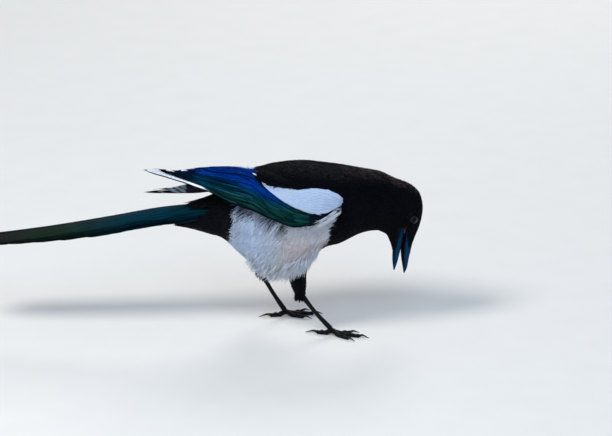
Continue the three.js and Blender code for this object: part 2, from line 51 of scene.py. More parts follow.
def circle(count):
    """Angles at even steps, once round."""
    return np.linspace(0, 2 * np.pi, count, endpoint=False)


def unit(vectors):
    return vectors / np.linalg.norm(vectors, axis=-1)[..., None]


def ramp(value, start, run):
    """0 up to a start and 1 once past it by a run; a run below zero makes it fall that way instead."""
    return np.clip((value - start) / run, 0, 1)


def placed(points):
    """Millimetres on the bird's own plan, set in the model's frame in metres."""
    return (np.asarray(points, float) + [PLAN_X, PLAN_Y, 0]) / 1000


def curve_through(stations):
    """Smooth values between stations, each a row of the place along and what it measures there."""
    table = np.array(stations, float)
    at, values = table[:, 0], table[:, 1:]
    before = np.maximum(np.arange(len(at)) - 1, 0)
    after = np.minimum(np.arange(len(at)) + 1, len(at) - 1)
    slope = (values[after] - values[before]) / (at[after] - at[before])[:, None]

    def value(place):
        place = np.asarray(place, float)
        i = np.clip(np.searchsorted(at, place), 1, len(at) - 1)
        span = (at[i] - at[i - 1])[..., None]
        t = np.clip((place[..., None] - at[i - 1][..., None]) / span, 0, 1)
        p, q = values[i - 1], values[i]
        m, n = slope[i - 1] * span, slope[i] * span
        return p + t * (m + t * (3 * (q - p) - 2 * m - n + t * (2 * (p - q) + m + n)))

    return value


# At each place: upper point x and z, lower point x and z, half a width, and how square the back is
body_line = curve_through([
    (-54, -124.3, 111, -124.3, 98.6, 8, 2), (-38, -108.3, 115.6, -108.3, 97, 11.4, 2),
    (-24, -94.3, 119.3, -94.3, 94, 13.4, 2), (-10, -80.3, 124.4, -80.3, 89.5, 14.6, 2),
    (0, -70, 128.6, -70, 86, 15.5, 2), (16, -54, 137.5, -54, 71.5, 24, 2.4),
    (36, -34, 151, -34, 54.5, 32, 2.5), (57, -13.5, 155.2, -13.5, 52, 36, 2.5),
    (75, 4.5, 155.8, 4.5, 57.5, 37, 2.55), (90, 19.8, 153.8, 19.8, 76.5, 36, 2.55),
    (106, 36, 152, 36, 82.2, 33.5, 2.5), (124, 55, 149.5, 53, 90.8, 29, 2.2),
    (140, 73, 146.5, 67, 94.3, 24, 2.1), (152, 87.3, 140, 73.8, 91.5, 19.8, 2),
    (163, 99.5, 134, 77.5, 88.5, 17, 2), (174, 107.8, 126.2, 79.8, 84.8, 15.6, 2),
    (184, 111, 115.6, 81.2, 81.2, 14.6, 2), (194, 110.6, 105, 82.3, 78.4, 12.3, 2),
    (203, 108.4, 95.4, 83, 75.6, 10.2, 2), (211, 105.2, 87, 83.5, 73.6, 8.5, 2),
    (219, 102.2, 78.8, 83.8, 71.8, 7.1, 2), (226, 99.6, 71.8, 84, 70, 5.6, 2),
])
coat_depth = curve_through([
    (-54, 4), (-20, 4), (0, 2.6), (36, 4), (80, 4),
    (124, 3.2), (152, 2.4), (174, 1.6), (203, 1.1), (226, 0.8),
])
BODY_START, BODY_END = -54, 226
BELLY_POWER = 2.25
HEAD_TURN = math.radians(18)
NECK_AXIS_X = 84
TURN_FROM, TURN_OVER = 60, 30


def head_turned(points):
    """Everything past the neck swings to the bird's left about an upright axis."""
    x, y, z = np.moveaxis(np.asarray(points, float), -1, 0)
    share = ramp(x + 0.3 * (110 - z), TURN_FROM, TURN_OVER)
    angle = HEAD_TURN * share * share * (3 - 2 * share)
    c, s = np.cos(angle), np.sin(angle)
    ahead = x - NECK_AXIS_X
    return np.stack([NECK_AXIS_X + ahead * c - y * s, ahead * s + y * c, z], -1)


def squareness(high, upper):
    """The power of the body's outline, which is rounder below than on the shoulders of the back."""
    return np.where(high > 0, upper, np.minimum(BELLY_POWER, upper + 0.25))


def on_plain_body(at, turn, out=0.0):
    """A place before the head is turned: along the body, round it from the back, and outwards."""
    at, turn, out = np.broadcast_arrays(np.asarray(at, float), turn, out)
    top_x, top_z, low_x, low_z, half, upper = np.moveaxis(body_line(at), -1, 0)
    tall = np.hypot(top_x - low_x, top_z - low_z)
    c, s = np.cos(turn), np.sin(turn)
    bend = 2 / squareness(c, upper)
    high = np.sign(c) * np.abs(c) ** bend * (tall / 2 + out) / tall
    wide = np.sign(s) * np.abs(s) ** bend * (half + out)
    middle_x, middle_z = (top_x + low_x) / 2, (top_z + low_z) / 2
    return np.stack([middle_x + (top_x - low_x) * high, wide, middle_z + (top_z - low_z) * high], -1)


def on_body(at, turn, out=0.0):
    """The same place with the head turned."""
    return head_turned(on_plain_body(at, turn, out))


def drawn_through(rings, closed=False):
    """A skin pulled through rings of equally many points, filled at its ends or led back to the first."""
    bm = bmesh.new()
    loops = []
    for ring in rings:
        verts = bmesh.ops.create_circle(bm, segments=len(ring), radius=1)["verts"]
        for vert, point in zip(verts, placed(ring)):
            vert.co = point
        loops.append(list({edge for vert in verts for edge in vert.link_edges}))
    pairs = list(zip(loops, loops[1:]))
    if closed:
        pairs.append((loops[-1], loops[0]))
    for one, other in pairs:
        bmesh.ops.bridge_loops(bm, edges=one + other)
    if not closed:
        for end in (loops[0], loops[-1]):
            bmesh.ops.edgeloop_fill(bm, edges=end)
    bmesh.ops.recalc_face_normals(bm, faces=bm.faces)
    return bm


def linked(name, data):
    """An object made of some data, in the scene."""
    made = bpy.data.objects.new(name, data)
    bpy.context.scene.collection.objects.link(made)
    return made


def mesh_of(name, form):
    """A form under construction becomes a mesh."""
    mesh = bpy.data.meshes.new(name)
    form.to_mesh(mesh)
    form.free()
    return mesh


def numbered(mesh, name, values):
    """A number for each point of a mesh."""
    mesh.attributes.new(name, "FLOAT", "POINT").data.foreach_set("value", values)


def shown(name, mesh, material, slot, *nodes):
    """A mesh becomes a smooth piece that rides on the bird and stands for its solids."""
    mesh.materials.append(material)
    mesh.polygons.foreach_set("use_smooth", np.ones(len(mesh.polygons), bool))
    made = linked(name, mesh)
    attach(made, "root")
    if nodes:
        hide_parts(*nodes)
    return made


def piece(name, form, material, slot, *nodes):
    return shown(name, mesh_of(name, form), material, slot, *nodes)


class Shade:
    """One socket of a material, so that sums on it read as sums."""

    def __init__(self, tree, socket):
        self.tree, self.socket = tree, socket

    def made(self, kind, settings, values, output=0):
        """Adds a node: its settings first, then a number, colour or link for each of its sockets."""
        node = self.tree.nodes.new(kind)
        for key, value in settings.items():
            if key == "stops":
                ramp = node.color_ramp
                while len(ramp.elements) < len(value):
                    ramp.elements.new(1)
                for element, (place, colour) in zip(ramp.elements, value):
                    element.position, element.color = place, (*colour, 1)
            else:
                setattr(node, key, value)
        for key, value in values.items():
            if isinstance(value, Shade):
                self.tree.links.new(value.socket, node.inputs[key])
            else:
                node.inputs[key].default_value = value
        return Shade(self.tree, node.outputs[output])

    def sum(self, operation, *values):
        return self.made("ShaderNodeMath", {"operation": operation}, dict(enumerate(values)))

    def __add__(self, other):
        return self.sum("ADD", self, other)

    def __sub__(self, other):
        return self.sum("SUBTRACT", self, other)

    def __mul__(self, other):
        return self.sum("MULTIPLY", self, other)

    def __rsub__(self, other):
        return self.sum("SUBTRACT", other, self)

    def __abs__(self):
        return self.sum("ABSOLUTE", self)

    __radd__ = __add__
    __rmul__ = __mul__

    def kept(self):
        """Kept between 0 and 1."""
        return self.made("ShaderNodeClamp", {}, {0: self})

    def attribute(self, name, output=2):
        """What each point carries: a number, or a colour from output 0."""
        return self.made("ShaderNodeAttribute", {"attribute_name": name}, {}, output)

    def axis(self, number):
        return self.made("ShaderNodeSeparateXYZ", {}, {0: self}, number)

    def stretched(self, scale):
        return self.made("ShaderNodeMapping", {}, {"Vector": self, "Scale": scale})

    def noise(self, scale, detail=3):
        return self.made("ShaderNodeTexNoise", {}, {"Vector": self, "Scale": scale, "Detail": detail})

    def ramped(self, stops):
        return self.made("ShaderNodeValToRGB", {"stops": stops}, {0: self})

    def between(self, one, other):
        """One colour into another, by this share."""
        one, other = [(*c, 1) if isinstance(c, tuple) else c for c in (one, other)]
        return self.made("ShaderNodeMix", {"data_type": "RGBA"}, {0: self, 6: one, 7: other}, 2)

    def bumped(self, strength, distance):
        """The normal of a surface that is this high."""
        return self.made("ShaderNodeBump", {}, {"Strength": strength, "Distance": distance, "Height": self})


def new_finish(name, **settings):
    """A material with its fixed numbers set, and the two sockets that its nodes start from and end in."""
    material = bpy.data.materials.new(name)
    material.use_nodes = True
    tree = material.node_tree
    shader = tree.nodes["Principled BSDF"]
    for key, value in settings.items():
        shader.inputs[key.replace("_", " ")].default_value = value
    start = tree.nodes.new("ShaderNodeTexCoord")
    return material, Shade(tree, start.outputs["Object"]), shader.inputs


def joined(shade, socket):
    shade.tree.links.new(shade.socket, socket)


BLACK = (0.002, 0.0025, 0.005)
# Feather white with a slight blue cast, partly a painted sky tint
WHITE = (0.74, 0.79, 0.88)
DOWN_GREY = (0.22, 0.22, 0.25)
SHADE_GREY = (0.42, 0.47, 0.58)
# Brown for feather tips on top of the nape and mantle: partly wear, partly a painted sheen of light on top
WORN_AND_SHEEN_BROWN = (0.12, 0.075, 0.07)
# A blue white for the hind belly and the vent wisps, a painted sky-lit shade
SKY_SHADED_WHITE = (0.62, 0.75, 0.97)


def white_share(points):
    """How white the body is at a place: the belly and flanks, from the breast back to the vent."""
    x, y, z = np.moveaxis(np.asarray(points, float), -1, 0)
    flank_top = 126
    breast = 25.5 + 0.334 * (z - 82)
    vent = np.interp(z, [85, 94, 106, 114, 124], [-61, -59, -57, -53, -56])
    inside = np.minimum(np.minimum(breast - x, x - vent), flank_top - z)
    return np.clip(0.5 + inside / 3, 0, 1)


def coloured_and_shaded(mesh, colours):
    """Each point's colour, painted shade and sky tint included where a piece has them, which skin and coat
    both carry.
    """
    layer = mesh.attributes.new("dye", "FLOAT_COLOR", "POINT")
    layer.data.foreach_set("color", np.concatenate([colours, np.ones((len(colours), 1))], 1).ravel())


skin_finish, where, sockets = new_finish("skin", Roughness=0.8, Specular_IOR_Level=0.1)
mottle = where.noise(420)
joined((mottle * 0.4).between(where.attribute("dye", 0), (0.008, 0.007, 0.009)), sockets["Base Color"])
joined(mottle.bumped(0.4, 0.0004), sockets["Normal"])

skin_places = np.concatenate([np.linspace(-26, 180, 62), np.linspace(183, BODY_END, 24)])
skin_form = drawn_through([on_body(at, circle(72), -coat_depth(at)[0]) for at in skin_places])

# The gape as seen from the side, a window that widens outwards
FACE_EDGE = np.array([
    (94.4, 97.6), (95.8, 90), (97.4, 80), (99.4, 70), (101, 60),
    (83.9, 60), (84.1, 71), (84.3, 80), (84.8, 89), (86.2, 96),
])
FACE_MIDDLE = (92, 80)
face_rings = []
for out, slope in [(-20, 7), (-12, 3), (-9, 1), (-6.4, 0), (6.4, 0), (9, 1), (12, 3), (20, 7)]:
    edge = FACE_EDGE + unit(FACE_EDGE - FACE_MIDDLE) * slope
    face_rings.append(head_turned(np.column_stack([edge[:, 0], np.full(len(edge), out), edge[:, 1]])))
body_skin = piece(
    "skin_body", skin_form, skin_finish, "plumage_black", "head", "neck", "torso", "tail_coverts")
window = linked("gape_window", mesh_of("gape_window", drawn_through(face_rings)))
opening = body_skin.modifiers.new("gape", "BOOLEAN")
opening.operation, opening.solver, opening.object = "DIFFERENCE", "EXACT", window
cut_skin = bpy.data.meshes.new_from_object(body_skin.evaluated_get(bpy.context.evaluated_depsgraph_get()))
body_skin.modifiers.remove(opening)
body_skin.data = cut_skin
bpy.data.objects.remove(window)


def plan_points(mesh):
    points = np.empty(len(mesh.vertices) * 3)
    mesh.vertices.foreach_get("co", points)
    return points.reshape(-1, 3) * 1000 - [PLAN_X, PLAN_Y, 0]


def shared(share, one, other):
    """One row of numbers into another by a share of its own for each row."""
    share = np.asarray(share)[..., None]
    return np.asarray(one) * (1 - share) + np.asarray(other) * share


skin_white = white_share(plan_points(cut_skin))
coloured_and_shaded(cut_skin, shared(skin_white, BLACK, (0.5, 0.5, 0.55)))

# Eyes, wet and dark brown, deep in the sides of the head. The iris is almost as dark as the pupil, and a
# ring of bare, beaded grey-black lid holds each ball.
EYE_PLACE = (98.5, 11.1, 104.2)
EYE_RADIUS = 4.3
GAZE_FORWARD = math.radians(12)
LID_EDGE = 5.1
LID_OUT = 1.95
LID_RADIUS = 4.0
LID_THICK = 0.52
LID_BEADS = 22

# The ball's reflections are tinted blue, a painted sky colour in them.
eye_finish, where, sockets = new_finish(
    "eye_ball", Roughness=0.05, Specular_IOR_Level=0.32, Specular_Tint=(0.08, 0.36, 0.75, 1))
iris = where.noise(900).between((0.006, 0.003, 0.003), (0.02, 0.01, 0.007))
iris_ring = where.attribute("gaze").ramped([
    (0.42, (0, 0, 0)), (0.5, (1, 1, 1)), (0.8, (1, 1, 1)), (0.84, (0, 0, 0)),
])
joined(iris_ring.between((0.003, 0.003, 0.004), iris), sockets["Base Color"])

lid_finish, where, sockets = new_finish("lid_skin", Roughness=0.6, Specular_IOR_Level=0.3)
grain = where.noise(1500)
joined(grain.between((0.004, 0.004, 0.006), (0.014, 0.014, 0.018)), sockets["Base Color"])
joined(grain.bumped(0.5, 0.0002), sockets["Normal"])

for name, side in (("left", 1), ("right", -1)):
    centre = np.array([EYE_PLACE[0], side * EYE_PLACE[1], EYE_PLACE[2]])
    gaze_way = unit(np.array([math.sin(GAZE_FORWARD), side * math.cos(GAZE_FORWARD), -0.1]))
    ball = bmesh.new()
    bmesh.ops.create_uvsphere(ball, u_segments=48, v_segments=32, radius=EYE_RADIUS)
    looks = []
    for vert in ball.verts:
        looks.append(float(np.dot(np.array(vert.co) / EYE_RADIUS, gaze_way)))
        vert.co = placed(head_turned(np.array(vert.co) + centre))
    bmesh.ops.recalc_face_normals(ball, faces=ball.faces)
    eye = piece(f"eye_ball_{name}", ball, eye_finish, "eye", f"eye_{name}")
    numbered(eye.data, "gaze", looks)
    # The lid: beads on a ring that leans with the cheek
    level = unit(np.cross(gaze_way, (0, 0, 1)))
    rise = np.cross(level, gaze_way)
    bend = circle(10)[:, None]
    rings = []
    for turn in circle(66):
        away = level * math.cos(turn) + rise * math.sin(turn)
        thick = LID_THICK + 0.09 * math.cos(turn * LID_BEADS)
        rim = centre + gaze_way * LID_OUT + away * LID_RADIUS * (1 - 0.1 * abs(math.sin(turn)))
        rings.append(head_turned(rim + away * np.cos(bend) * thick * 1.25 + gaze_way * np.sin(bend) * thick))
    piece(f"lid_{name}", drawn_through(rings, closed=True), lid_finish, "leg_skin")

# Bill: two sheaths of black horn, open by a few degrees, with sharp cutting edges and a ridge along the
# culmen. Each is hollow inside; the mouth is dark red at the back and darker towards the tips, and the
# tongue is a thin blade. A sheath's rows say how far down it is, where its cutting edge lies, how deep it
# is and half its width.
GAPE_HEIGHT = 97
UPPER_LENGTH, LOWER_LENGTH = 47.4, 43.6
upper_bill = curve_through([
    (0, 94.4, 6.4, 8.6), (9, 93.8, 8.8, 7.2), (18, 92.8, 9.4, 5.9), (25, 92.6, 8.2, 4.9),
    (31, 92.7, 6.6, 3.9), (37, 93.2, 5.1, 3), (43, 93.9, 3.2, 2), (UPPER_LENGTH, 94.2, 0.9, 0.6),
])
lower_bill = curve_through([
    (0, 92.8, 7.2, 8.4), (9, 91.2, 6.7, 7.2), (18, 89.9, 5.7, 5.8), (25, 89, 5.2, 4.7), (31, 88, 4.5, 3.6),
    (37, 86.9, 3.1, 2.4), (LOWER_LENGTH, 85.3, 0.7, 0.6),
])

# The horn is black, but its colour is painted blue, a painted reflection of the sky, and its reflections are
# tinted blue as well. The painted blue is strongest in a band along each flank of a sheath, a painted sheen
# on the rounded horn. It is near black at the ridge and the cutting edges. Noise streaks the painted blue and
# also roughens the horn.
horn_painted_sheen_finish, where, sockets = new_finish(
    "bill_horn_painted_sheen", Roughness=0.28, Specular_IOR_Level=0.08, Metallic=0.5, Specular_Tint=(0.12, 0.35, 0.75, 1))
wear = where.noise(260, 5)
fine = where.stretched((1, 1, 0.12)).noise(2600)
long_way = where.stretched((1, 1, 0.08)).noise(900)
horn = (wear * 0.6 + long_way * 1.6 - 0.6).kept().between((0.001, 0.014, 0.05), (0.008, 0.07, 0.16))
flank = (1.25 - abs(where.attribute("ridge") - 0.5) * 2.3).kept()
horn = flank.between((0.001, 0.006, 0.022), horn)
deep_mouth = where.axis(2).ramped([
    (0.055, (0.008, 0.007, 0.006)), (0.078, (0.05, 0.014, 0.01)), (0.092, (0.16, 0.02, 0.018)),
])
joined(where.attribute("inside").between(horn, deep_mouth), sockets["Base Color"])
joined(0.2 + wear * 0.25, sockets["Roughness"])
joined(fine.bumped(0.25, 0.0002), sockets["Normal"])


def sheath(shape, length, way):
    """A horn sheath: from one cutting edge over the ridge to the other, and back along the hollow inside."""
    outside, steps, roundness = 25, 34, 2 / 1.8
    turn = np.linspace(-np.pi / 2, np.pi / 2, outside)
    back = np.linspace(1, -1, outside)[1:-1]
    rings = []
    for at in length * np.linspace(0, 1, steps) ** 0.9:
        x, deep, half = shape(at)
        reach = np.abs(np.cos(turn)) ** roundness * deep
        ridge = 0.35 * deep / 9 * np.exp(-(turn / 0.16) ** 2)
        y = np.sign(np.sin(turn)) * np.abs(np.sin(turn)) ** roundness * half
        hollow = (1 - back ** 2) * deep * 0.42 * min(1, (length - at) / 14)
        xs = np.concatenate([x + way * (0.1 + reach + ridge), x + way * (0.1 + hollow)])
        ys = np.concatenate([y, back * half * 0.94])
        rings.append(head_turned(np.column_stack([xs, ys, np.full(len(xs), GAPE_HEIGHT - at)])))
    lining = np.concatenate([np.zeros(outside), np.ones(len(back))])
    ridges = np.concatenate([np.cos(turn), np.zeros(len(back))])
    return rings, np.tile(lining, steps), np.tile(ridges, steps)


for name, shape, length, way in (
        ("upper", upper_bill, UPPER_LENGTH, 1), ("lower", lower_bill, LOWER_LENGTH, -1)):
    rings, linings, ridges = sheath(shape, length, way)
    half_bill = piece(f"horn_{name}", drawn_through(rings), horn_painted_sheen_finish, "horn", f"bill_{name}")
    numbered(half_bill.data, "inside", linings)
    numbered(half_bill.data, "ridge", ridges)

flesh_finish, where, sockets = new_finish("mouth_flesh", Roughness=0.3, Coat_Weight=0.4)
folds = where.noise(700)
mouth_corner = {"Value": where.axis(2), "From Min": 0.0935, "From Max": 0.0965}
corner = where.made("ShaderNodeMapRange", {}, mouth_corner)
flesh = folds.between((0.07, 0.008, 0.01), (0.16, 0.025, 0.025))
joined(corner.between(flesh, (0.14, 0.15, 0.19)), sockets["Base Color"])
joined(folds.bumped(0.5, 0.0003), sockets["Normal"])


def level_ring(x, deep, half, high):
    """A level ring in the head, for the tongue and for the lining of the gape."""
    turn = circle(20)
    return head_turned(np.column_stack([x + deep * np.cos(turn), half * np.sin(turn), np.full(20, high)]))


TONGUE_LENGTH = 27
tongue_line = curve_through([
    (0, 92.4, 3.4, 1.5), (10, 90.6, 3, 1.2), (20, 88.8, 2, 0.8), (TONGUE_LENGTH, 87.4, 0.4, 0.3),
])
rings = []
for at in np.linspace(0, TONGUE_LENGTH, 16):
    x, half, thick = tongue_line(at)
    rings.append(level_ring(x, thick, half, 92 - at))
piece("tongue", drawn_through(rings), flesh_finish, "horn")
rings = []
for at in np.linspace(0, 1, 10):
    front, back = 97.8 - 1.2 * at, 88.2 + 0.8 * at
    deep = (front - back) / 2 * (1 - 0.45 * at)
    rings.append(level_ring((front + back) / 2, deep, 7.4 - 1.2 * at, 99 - 9 * at))
piece("gape_lining", drawn_through(rings), flesh_finish, "horn")

# Small body feathers. Each tuft is a few thin tapered barbs, rooted in the skin and lying back along the body
# over the next. They are smallest on the face and longest on the belly, which is loose and white.


def even_roots(surface, p_low, p_high, spacing, seed):
    """Staggered rows of roots at an even distance over a surface, each shifted a little."""
    draw = np.random.default_rng(seed)
    row_gap, shift, around = 0.8, 0.3, 241
    q = np.linspace(0, 2 * np.pi, around)
    places, turns = [], []
    p, odd = p_low, 0
    while p < p_high:
        gap = spacing(p)
        ring = surface(np.full(around, p), q)
        run = np.concatenate([[0], np.cumsum(np.linalg.norm(np.diff(ring, axis=0), axis=1))])
        count = max(3, int(run[-1] / gap))
        steps = (np.arange(count) + 0.5 * odd + draw.uniform(-shift, shift, count)) / count * run[-1]
        turns.append(np.interp(steps, run, q))
        places.append(p + draw.uniform(-shift, shift, count) * gap * row_gap)
        ahead, behind = [surface(np.array([p + way]), np.array([0.0])) for way in (0.5, -0.5)]
        p += gap * row_gap / max(0.6, min(1.6, float(np.linalg.norm(ahead - behind))))
        odd = 1 - odd
    return np.concatenate(places), np.concatenate(turns)


# A barb has three rings of four points and a tip
BARB_POINTS = 13
BARB_RINGS = [4, 4, 4, 1]
BARB_ROWS = np.array([0, 0.4, 0.78])
BARB_WIDE = np.array([0.6, 1, 0.72])
BARB_FACES = []
for row in range(2):
    for corner in range(4):
        a, b = row * 4 + corner, row * 4 + (corner + 1) % 4
        BARB_FACES += [(a, b, b + 4), (a, b + 4, a + 4)]
BARB_FACES += [(8, 9, 12), (9, 10, 12), (10, 11, 12), (11, 8, 12), (0, 3, 2), (0, 2, 1)]
BARB_FACES = np.array(BARB_FACES)


def array_mesh(name, points, faces, maps, numbers, colours):
    """A mesh from arrays: points on the plan, triangles, maps and numbers by name, and colours."""
    mesh = bpy.data.meshes.new(name)
    mesh.vertices.add(len(points))
    mesh.vertices.foreach_set("co", placed(points).ravel())
    mesh.loops.add(len(faces) * 3)
    mesh.loops.foreach_set("vertex_index", faces.ravel().astype(np.int32))
    mesh.polygons.add(len(faces))
    mesh.polygons.foreach_set("loop_start", np.arange(0, len(faces) * 3, 3, dtype=np.int32))
    mesh.update(calc_edges=True)
    for map_name, flat in maps.items():
        mesh.uv_layers.new(name=map_name).data.foreach_set("uv", flat[faces.ravel()].ravel())
    for number_name, values in numbers.items():
        numbered(mesh, number_name, values)
    coloured_and_shaded(mesh, colours)
    return mesh


def surface_steps(surface, p, q):
    """How far one unit of each of a surface's two measures goes at a root, and which way round they lie."""
    small = 0.05
    along = (surface(p + small, q) - surface(p - small, q)) / (2 * small)
    across = (surface(p, q + small) - surface(p, q - small)) / (2 * small)
    out = surface(p, q, 1.0) - surface(p, q, 0.0)
    facing = np.sign(np.einsum("ij,ij->i", np.cross(along, across), out))
    reach_along = np.maximum(np.linalg.norm(along, axis=1), 0.4)
    reach_across = np.maximum(np.linalg.norm(across, axis=1), 3)
    return reach_along, reach_across, facing


def tufts(name, surface, p, q, finish, slot, colours, *, way=-1, length, width, low, high, strands=2, splay,
          veer=0.0, thick, seed, span=((BODY_START, BODY_END), (0, 2 * np.pi)), tip_colours=None, tones=None):
    """Tufts on a surface, as one piece: `low` is how deep the roots sit and `high` where the tips come."""
    draw = np.random.default_rng(seed)
    count = len(p)
    given = (length, width, low, high, veer)
    length, width, low, high, veer = [np.broadcast_to(np.asarray(value, float), count) for value in given]
    colours = np.broadcast_to(colours, (count, 3))
    step_p, step_q, facing = surface_steps(surface, p, q)
    order = np.repeat(np.arange(count), strands)
    strand = np.tile(np.arange(strands) - (strands - 1) / 2, count)
    total = len(order)
    angle = veer[order] + splay * strand * 2 + draw.normal(0, splay * 0.5, total)
    reach = length[order] * (1 + draw.uniform(-0.2, 0.12, total))
    curl = draw.normal(0, 0.05, total) * reach
    layer = draw.uniform(-0.12, 0.12, total)
    # How far along each ring of a barb lies, how far aside, half its width, and how far out
    s = np.append(BARB_ROWS, 1.0)
    a = reach[:, None] * s
    b = curl[:, None] * s ** 2 + strand[:, None] * width[order][:, None] * 0.5
    half = width[order][:, None] * 0.5 * np.append(BARB_WIDE, 0)
    o = low[order][:, None] + (high - low)[order][:, None] * s ** 0.7 + layer[:, None]
    spots = np.zeros((total, BARB_POINTS, 3))
    for r in range(3):
        for k, (wide, rise) in enumerate([(-1, 0), (0, 1), (1, 0), (0, -1)]):
            corner = [a[:, r], b[:, r] + wide * half[:, r], o[:, r] + rise * thick * BARB_WIDE[r]]
            spots[:, r * 4 + k] = np.stack(corner, 1)
    spots[:, -1] = np.stack([a[:, 3], b[:, 3], o[:, 3]], 1)
    c, sn = np.cos(angle)[:, None], np.sin(angle)[:, None]
    along = p[order][:, None] + way * (spots[..., 0] * c - spots[..., 1] * sn) / step_p[order][:, None]
    across = q[order][:, None] + (spots[..., 0] * sn + spots[..., 1] * c) / step_q[order][:, None]
    points = surface(along.ravel(), across.ravel(), spots[..., 2].ravel())
    flip = facing[order] * way < 0
    faces = np.where(flip[:, None, None], BARB_FACES[None, :, ::-1], BARB_FACES[None])
    faces = faces + (np.arange(total) * BARB_POINTS)[:, None, None]
    (p0, p1), (q0, q1) = span
    home = np.stack([(p[order] - p0) / (p1 - p0), ((q[order] - q0) / (q1 - q0)) % 1.0], 1) * 0.96 + 0.02
    patch = [spots[..., 1] / (width[order][:, None] * strands + 1e-6), spots[..., 0] / reach[:, None] - 0.5]
    flat = home[:, None, :] + np.clip(np.stack(patch, -1), -0.5, 0.5) * 0.003
    tone = np.repeat((draw.uniform(0, 1, count) if tones is None else tones)[order], BARB_POINTS)
    tip = np.tile(np.repeat(s, BARB_RINGS), total)
    dye = np.repeat(colours[order], BARB_POINTS, axis=0)
    if tip_colours is not None:
        dye = shared(tip ** 2, dye, np.repeat(tip_colours[order], BARB_POINTS, axis=0))
    numbers = {"tone": tone, "tip": tip}
    mesh = array_mesh(name, points, faces.reshape(-1, 3), {"OFBake": flat.reshape(-1, 2)}, numbers, dye)
    return shown(name, mesh, finish, slot)


def plumage(name, gloss, roughness, tint, deep):
    """Small feathers: darker at the roots, each a little lighter or darker than the next, softly glossed."""
    finish, where, sockets = new_finish(name, Roughness=roughness, Specular_IOR_Level=gloss)
    dye, tone, tip = where.attribute("dye", 0), where.attribute("tone"), where.attribute("tip")
    patches = where.noise(55)
    shade = (1 - deep) + tip * (deep * 0.8) + (tone - 0.5) * (deep * 0.8)
    grey = where.made("ShaderNodeCombineColor", {}, {0: shade, 1: shade, 2: shade})
    settings = {"data_type": "RGBA", "blend_type": "MULTIPLY"}
    darker = where.made("ShaderNodeMix", settings, {0: 1.0, 6: dye, 7: grey}, 2)
    joined(((patches - 0.45) * 0.5).between(darker, tint), sockets["Base Color"])
    joined(roughness - 0.1 + patches * 0.2, sockets["Roughness"])
    joined(where.noise(2400, 2).bumped(0.25, 0.0002), sockets["Normal"])
    return finish


# On the black feathers the noise patches are tinted blue, a painted sheen; on the white feathers they are
# tinted blue-grey.
black_plumage = plumage("black_plumage", 0.06, 0.45, (0.002, 0.004, 0.012), 0.45)
white_plumage = plumage("white_plumage", 0.15, 0.8, (0.62, 0.68, 0.82), 0.22)


def in_face_window(x, z):
    """Whether a place seen from the side lies in the gape's window."""
    inside = np.zeros(len(x), bool)
    for (x1, z1), (x2, z2) in zip(FACE_EDGE, np.roll(FACE_EDGE, -1, axis=0)):
        crosses = (z1 > z) != (z2 > z)
        inside ^= crosses & (x < (x2 - x1) * (z - z1) / (z2 - z1 + 1e-9) + x1)
    return inside


# Head and face. A table of feather sizes gives places along the body, and there the distance between roots.
HEAD_FEATHERS = ([150, 175, 200, 226], [1.6, 1.3, 0.98, 0.88])
p, q = even_roots(on_body, 150, BODY_END, lambda at: np.interp(at, *HEAD_FEATHERS), 3)
plain = on_plain_body(p, q)
eye_gap = np.hypot(plain[:, 0] - EYE_PLACE[0], plain[:, 2] - EYE_PLACE[2])
keep = ~in_face_window(plain[:, 0], plain[:, 2]) & ((eye_gap > LID_EDGE) | (np.abs(plain[:, 1]) < 6))
p, q = p[keep], q[keep]
size = np.interp(p, *HEAD_FEATHERS)
# A few tips along the top of the nape are brown, longer and raised: partly worn feathers, partly a painted
# sheen of light on top
worn_and_sheen = ramp(p, 184, -14) * ramp(np.cos(q), 0.82, 0.12)
worn_and_sheen = worn_and_sheen * (np.random.default_rng(9).uniform(0, 1, len(p)) < 0.25)
for k, part in enumerate(np.array_split(np.argsort(p), 2)):
    tufts(f"coat_head_{k + 1}", on_body, p[part], q[part], black_plumage, "plumage_black", BLACK,
          length=size[part] * (3.4 + 0.8 * worn_and_sheen[part]), width=size[part] * 0.85,
          low=-coat_depth(p[part])[:, 0] * 0.9, high=0.05 + 0.8 * worn_and_sheen[part], splay=0.1, thick=0.14,
          seed=11 + k, tip_colours=shared(worn_and_sheen[part], BLACK, WORN_AND_SHEEN_BROWN))

# Neck, breast, back, rump, vent and belly
BODY_FEATHERS = ([-46, 0, 60, 110, 150], [1.9, 1.9, 2.1, 1.9, 1.5])
p, q = even_roots(on_body, -40, 150, lambda at: np.interp(at, *BODY_FEATHERS), 5)
reach_back = np.interp(np.cos(q), [-1, -0.5, -0.2, 0.2, 0.75, 0.95, 1], [-34, -30, -16, -3, -5, -20, -24])
p, q = p[p > reach_back], q[p > reach_back]
plain = on_plain_body(p, q)
draw = np.random.default_rng(8)
white = white_share(plain + draw.normal(0, 0.6, plain.shape))
depth = coat_depth(p)[:, 0]
size = np.interp(p, *BODY_FEATHERS)
x, y, z = plain.T
under_wing = (x < 26) & (x > -22) & (z > 119) & (z < 138) & (np.abs(y) > 20)
rump = np.clip(1 - np.abs(x + 52) / 9, 0, 1) * ramp(z, 124, 8)
